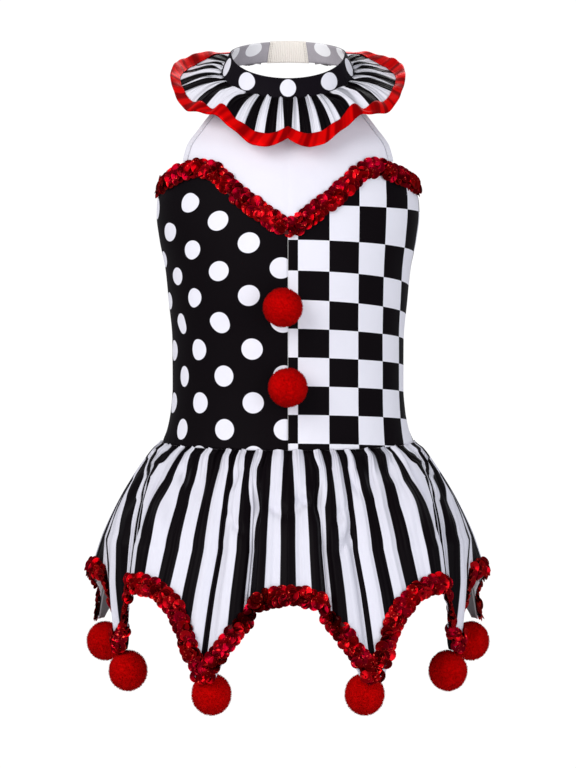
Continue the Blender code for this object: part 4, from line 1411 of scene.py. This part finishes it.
# The gathers bunch the stripes unevenly: which pair along the flat cloth each side of a stripe ends up
# at, at the levels below, from the centre front to the side seam.
BUNCH_LEVELS = dict(waist=-302, high=-311, middle=-322, low=-340, hip=-365)
BUNCHED_STRIPES = table(
    "count waist high middle low hip",
    (0, 0, 0, 0, 0, 0),
    (0.25, 0.23, 0.28, 0.31, 0.34, 0.32),
    (0.75, 0.79, 0.76, 0.73, 0.75, 0.78),
    (1.25, 1.3, 1.53, 1.52, 1.41, 1.5),
    (1.75, 1.97, 2, 1.93, 1.71, 1.72),
    (2.25, 2.34, 2.26, 2.27, 2.25, 2.26),
    (2.75, 2.99, 2.97, 2.89, 2.9, 3),
    (3.25, 3.31, 3.2, 3.17, 3.16, 3.21),
    (3.75, 3.77, 3.66, 3.68, 3.71, 3.75),
    (4.25, 4.4, 4.31, 4.21, 4.17, 4.26),
    (4.75, 5.01, 4.85, 4.75, 4.67, 4.74),
    (5.25, 5.41, 5.35, 5.25, 5.17, 5.24),
    (5.75, 6.12, 5.97, 5.73, 5.76, 5.74),
    (6.25, 6.2, 6.24, 6.22, 6.41, 6.21),
    (6.75, 7.14, 7.45, 7.67, 7.61, 7.53),
    (7.25, 7.31, 8.03, 7.74, 7.62, 7.58),
    (7.75, 8.48, 8.23, 7.75, 7.63, 7.59),
    (8.25, 9.28, 8.46, 7.82, 7.65, 7.67),
    (8.75, 10.3, 9.09, 8.1, 7.82, 7.77),
    (9.25, 10.9, 10.2, 9.4, 8.7, 8.24),
    (9.75, 11.6, 11.1, 10.5, 10, 8.94),
    (10.25, 12.2, 11.8, 11.2, 10.7, 9.6),
    (10.75, 12.8, 12.4, 11.9, 11.3, 10.4),
    (11, 13.2, 12.8, 12.3, 11.8, 11),
)
BUNCH_LENGTH = 46
BACK_BUNCH = 0.22
BACK_BUNCH_RATE = 1.7
# Sequins that cover each tip of the hem: stripe pairs to the side of the tip and mm above its end.
TIP_SEQUINS = ((-0.33, 6), (0.33, 6), (-0.2, 11), (0.2, 11.5), (-0.12, 4.5), (0.14, 5), (0, 9), (0.02, 16))
# The tip at each side whose cloth is folded edge on: within this many stripe pairs of it the braid is
# bunched up, by this share of its width.
FOLDED_TIP = 8.5
FOLDED_REACH = 1.3
FOLDED_SQUEEZE = 0.35
BRAID_END_GAP = 0.02
HEM_POINTS = 1600


def skirt(pair, level):
    """The middle of the skirt's cloth: pair counts stripe pairs along the flat cloth."""
    side, along = np.where(pair >= 0, 1, -1), np.abs(pair)
    to_hip = np.clip((level - WAIST_LEVEL) / (HIP_LEVEL - WAIST_LEVEL), 0, 1)
    to_tip = np.clip((level - HIP_LEVEL) / (TIP_LEVEL - HIP_LEVEL), 0, 1)
    past_side = (along - PAIRS_TO_SIDE) / PAIRS_TO_SIDE
    behind = past_side > 0
    back_angle = SIDE_ANGLE * (1 + past_side)
    back_push = BACK_FOLD_PUSH * np.sin(2 * math.pi * BACK_FOLDS * past_side)
    waist, hip, tip = (
        np.where(behind, back_angle, smooth(FOLDS, along, column)) for column in ("waist", "hip", "tip")
    )
    hip_push, tip_push = (
        np.where(behind, back_push, smooth(FOLDS, along, column)) for column in ("hip_push", "tip_push")
    )
    angle = side * blend(blend(waist, hip, to_hip), tip, to_tip)
    push = blend(hip_push * to_hip**FOLD_START, tip_push, to_tip)
    gathered = np.clip(1 - (WAIST_LEVEL - level) / GATHER_LENGTH, 0, 1)
    push = push - GATHER_DEPTH * np.cos(2 * math.pi * pair) * gathered
    push = push + SKIRT_FINE_GATHER * wander(pair * SKIRT_FINE_RATE, 4) * gathered**SKIRT_FINE_POWER
    sizes = [smooth(SKIRT_RINGS, level, column) for column in ("half_width", "front", "back")]
    place = ring(angle, *sizes, level, SKIRT_FRONT_DROP)
    return pushed(place, unit(place * (1, 1, 0)), push)


def creased(pair, level):
    """How far the skirt's cloth lies out of its smooth form, for all of its creases together."""
    push = 0.0
    for crease in CREASES:
        turn = math.radians(crease.lean)
        across, up = (pair - crease.pair) * STRIPE_WIDTH / 2, level - crease.level
        along = (up * math.cos(turn) + across * math.sin(turn)) / crease.reach
        aside = (across * math.cos(turn) - up * math.sin(turn)) / crease.width
        push = push - CREASE_DEPTH * crease.depth * ridge(along) * ridge(aside)
    return push


def bunched(pair, level):
    """How far the stripes shift from their places along the flat cloth, in pairs."""
    side, along = np.where(pair >= 0, 1, -1), np.abs(pair)
    counts = column_of(BUNCHED_STRIPES, "count")
    step = np.interp(-level, [-at for at in BUNCH_LEVELS.values()], range(len(BUNCH_LEVELS)))
    front = -along
    for n, column in enumerate(BUNCH_LEVELS):
        count = np.interp(along, column_of(BUNCHED_STRIPES, column), counts)
        front = front + count * np.clip(1 - np.abs(step - n), 0, 1)
    fade = np.clip(1 - (WAIST_LEVEL - level) / BUNCH_LENGTH, 0, 1)
    from_ends = np.clip(2 * PAIRS_TO_SIDE - 0.5 - along, 0, 1) * np.clip(along - PAIRS_TO_SIDE, 0, 1)
    back = BACK_BUNCH * wander(along * BACK_BUNCH_RATE, 6) * fade * from_ends
    return side * np.where(along < PAIRS_TO_SIDE, front, back)


def skirt_facing(pair, level):
    return facing(skirt, pair, level, PAIR_STEP, -LEVEL_STEP)


def hem_level(pair, column):
    """The levels of the hem trim's upper or lower edge at places along the flat cloth."""
    pair = np.abs(pair)
    corners, levels = column_of(HEM, "pair"), column_of(HEM, column)
    i = np.clip(np.searchsorted(corners, pair, side="right") - 1, 0, len(HEM) - 2)
    arch = i + i % 2
    tip = i + 1 - i % 2
    x = np.abs((pair - corners[arch]) / (corners[tip] - corners[arch]))
    if column == "bottom":
        x = np.clip(x / LEVEL_TIP_START, 0, 1)
    return blend(levels[arch], levels[tip], x**ARCH_POWER)


# The skirt's knit, its white painted darker as painted shade.
striped_skirt = knit_finish(
    "striped_skirt_knit", stripes, white=SKIRT_PAINTED_SHADE_WHITE, roughness=0.5, pleats=3, pleat_depth=12.0
)


def tip_sequins(pair, bottom):
    """The places, normals and sizes of the sequins that cover one tip of the hem."""
    squeeze = FOLDED_SQUEEZE * (abs(pair) == FOLDED_TIP)
    for aside, above in TIP_SEQUINS:
        at, level = pair + aside * (1 - squeeze), bottom + above
        yield skirt(at, level), skirt_facing(at, level), 1 - squeeze / 2


def skirt_half(part, start, seed):
    """Half of the skirt, from its first stripe pair on, and the sequin braid along its hem."""
    end, whole = start + 2 * PAIRS_TO_SIDE, 4 * PAIRS_TO_SIDE
    gap = SEAM_GAP / 2 / WAIST_PAIR
    pairs = np.linspace(start + gap, end - gap, (end - start) * PAIR_COLUMNS + 1)
    near = ((pairs + whole / 2) % whole - whole / 2)[None, :]
    down = np.linspace(0, 1, SKIRT_ROWS)[:, None] ** ROW_SPREAD
    levels = blend(WAIST_LEVEL - SEAM_GAP, hem_level(near, "bottom") + HEM_ABOVE_TRIM, down)
    grid = pushed(skirt(near, levels), skirt_facing(near, levels), creased(near, levels))
    shift = bunched(near, levels)
    puff = np.clip(-np.cos(2 * math.pi * (near + shift)), 0, 1) * np.clip(1 - down / SKIRT_PUFF_REACH, 0, 1)
    grid = grid + points(0, 0, SKIRT_PUFF * puff)
    gathered = (1 - np.clip(down / GATHER_SHOWN_REACH, 0, 1)) ** 2
    half = cloth(f"skirt_{part}_cloth", grid, pairs + shift, gathered, striped_skirt, striped_back)
    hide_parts(f"skirt_{part}")
    pairs = np.linspace(start + BRAID_END_GAP, end - BRAID_END_GAP, HEM_POINTS)
    near = (pairs + whole / 2) % whole - whole / 2
    middle = (hem_level(near, "top") + hem_level(near, "bottom")) / 2
    tips = []
    for tip in HEM[1::2]:
        if (tip.pair < PAIRS_TO_SIDE) == (start < 0):
            tips += [*tip_sequins(-tip.pair, tip.bottom), *tip_sequins(tip.pair, tip.bottom)]
    width = 1 - FOLDED_SQUEEZE * ridge((np.abs(near) - FOLDED_TIP) / FOLDED_REACH)
    line, out = skirt(near, middle), skirt_facing(near, middle)
    braid = sequin_braid(f"hem_braid_{part}", line, out, seed, tips, width)
    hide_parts(f"hem_trim_{part}")
    return half, braid, cut_size(grid)


skirt_front, hem_braid_front, front_cut = skirt_half("front", -PAIRS_TO_SIDE, 21)
skirt_back, hem_braid_back, back_cut = skirt_half("back", PAIRS_TO_SIDE, 22)

# ---------------------------------------------------------------- pompoms
# Balls of dense red acrylic pile, trimmed round. Two are sewn to the centre front of the bodice, and
# one hangs from each of the eight points of the hem.
POMPOM_RADIUS = 15.2
POMPOM_CORE = 0.93
POMPOM_LUMPS = 0.02
POMPOM_WAVES = 6
POMPOM_WAVE_RATE = 5
POMPOM_WAVE_TURN = 6
POMPOM_TUFTS = 7000
# Where the tufts' feet and tips start from, as shares of the radius, and how far they lean astray.
TUFT_FOOT = 0.9
TUFT_TIP = 0.92
TUFT_STRAY = 0.28
TUFT_WIDTH = 0.33
TUFT_LENGTH = 2.2
TUFT_LEAST = 0.45
TUFT_MOST = 0.95
# How far the pompoms are pressed flat at the front and drawn out where they hang.
FRONT_FLATNESS = 0.88
HANG_STRETCH = 1.06
FRONT_POMPOMS = table(
    "node angle level",
    ("pompom_front_upper", -2.1, -191.5),
    ("pompom_front_lower", 0, -253),
)
PILE = (0.62, 0.0, 0.0)
PILE_SHADE = (0.36, 0.0, 0.0)
PILE_SHEEN = (1.0, 0.1, 0.1, 1)
PILE_MOTTLE = ((1.6, 0.35),)
PILE_TUFT_SHARE = 0.3
PILE_GRAIN = 0.7
PILE_RELIEF = 0.5
pile_finish = Finish(
    "red_pile",
    roughness=0.95,
    Sheen_Weight=0.06,
    Sheen_Roughness=0.5,
    Sheen_Tint=PILE_SHEEN,
    Specular_IOR_Level=0.05,
)
pile_mottle = pile_finish.mottle(PILE_MOTTLE) + pile_finish.flat()[1] * PILE_TUFT_SHARE
pile_finish.give("Base Color", pile_finish.mix(pile_mottle, PILE, PILE_SHADE))
pile_finish.relief(pile_finish.grain(PILE_GRAIN), PILE_RELIEF)


def pompom(node, seed, stretch, way):
    """A ball of pile round its node's middle: a lumpy core under thousands of short tufts. It is
    stretched, or pressed flat, along one way."""
    rng = np.random.default_rng(seed)
    low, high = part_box(node)
    centre = (np.array(low) + np.array(high)) / 2 / MM
    bpy.ops.mesh.primitive_ico_sphere_add(subdivisions=4, radius=1)
    ball = bpy.context.object
    core = np.array([vertex.co[:] for vertex in ball.data.vertices])
    core_faces = np.array([face.vertices[:] for face in ball.data.polygons])
    bpy.data.objects.remove(ball)
    waves = [
        np.sin(core @ rng.normal(0, POMPOM_WAVE_RATE, 3) + rng.uniform(0, POMPOM_WAVE_TURN))
        for _ in range(POMPOM_WAVES)
    ]
    lumps = sum(waves) / POMPOM_WAVES
    core = core * (POMPOM_CORE + POMPOM_LUMPS * lumps[:, None]) * POMPOM_RADIUS
    roots = unit(rng.normal(size=(POMPOM_TUFTS, 3)))
    lean = unit(roots + rng.normal(0, TUFT_STRAY, (POMPOM_TUFTS, 3)))
    a = unit(np.cross(roots, rng.normal(size=(POMPOM_TUFTS, 3))))
    b = np.cross(roots, a)
    lengths = TUFT_LENGTH * rng.uniform(TUFT_LEAST, TUFT_MOST, (POMPOM_TUFTS, 1))
    tips = roots * (POMPOM_RADIUS * TUFT_TIP) + lean * lengths
    feet = [
        roots * (POMPOM_RADIUS * TUFT_FOOT) + (a * math.cos(t) + b * math.sin(t)) * TUFT_WIDTH
        for t in (0, 2 * math.pi / 3, 4 * math.pi / 3)
    ]
    tufts = np.stack([*feet, tips], axis=1).reshape(-1, 3)
    n = np.arange(POMPOM_TUFTS)[:, None, None] * 4 + len(core)
    tuft_faces = (n + np.array([(0, 1, 3), (1, 2, 3), (2, 0, 3)])).reshape(-1, 3)
    places = np.concatenate([core, tufts])
    places = places - np.outer(places @ way, way) * (1 - stretch)
    flat = np.concatenate([
        np.zeros((len(core), 2)),
        np.stack([np.tile([0, 0, 0, 1], POMPOM_TUFTS), np.repeat(rng.uniform(size=POMPOM_TUFTS), 4)], -1),
    ])
    faces = np.concatenate([core_faces, tuft_faces])
    piece = make_piece(f"{node}_pile", places + centre, faces, flat, [pile_finish])
    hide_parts(node)
    return piece


front_pompoms = [
    pompom(place.node, n, FRONT_FLATNESS, body_facing(place.angle, place.level))
    for n, place in enumerate(FRONT_POMPOMS, 1)
]
upward = np.array((0, 0, 1.0))
hem_pompoms = [pompom(f"pompom_hem_{n}", n + 10, HANG_STRETCH, upward) for n in range(1, 9)]

# ---------------------------------------------------------------- what each cloth was cut from
# Each half of the skirt was a straight strip of 22 stripe pairs before it was gathered, and cutting its
# points left this share of the strip.
SKIRT_STRIP = 2 * PAIRS_TO_SIDE * STRIPE_WIDTH * MM
STRIP_LEFT_OVER = 0.75
for name, (panel, (cut, area)) in panels.items():
    ["yoke"] if "front" in name else ["bodice_front_dots_cloth"]
    [neckline_braid, *front_pompoms] if name == "bodice_front_dots" else []
for half, braid, (cut, area), tips in (
    (skirt_front, hem_braid_front, front_cut, hem_pompoms[:4]),
    (skirt_back, hem_braid_back, back_cut, hem_pompoms[4:]),
):
    SKIRT_STRIP * cut[1] * STRIP_LEFT_OVER
    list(tips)
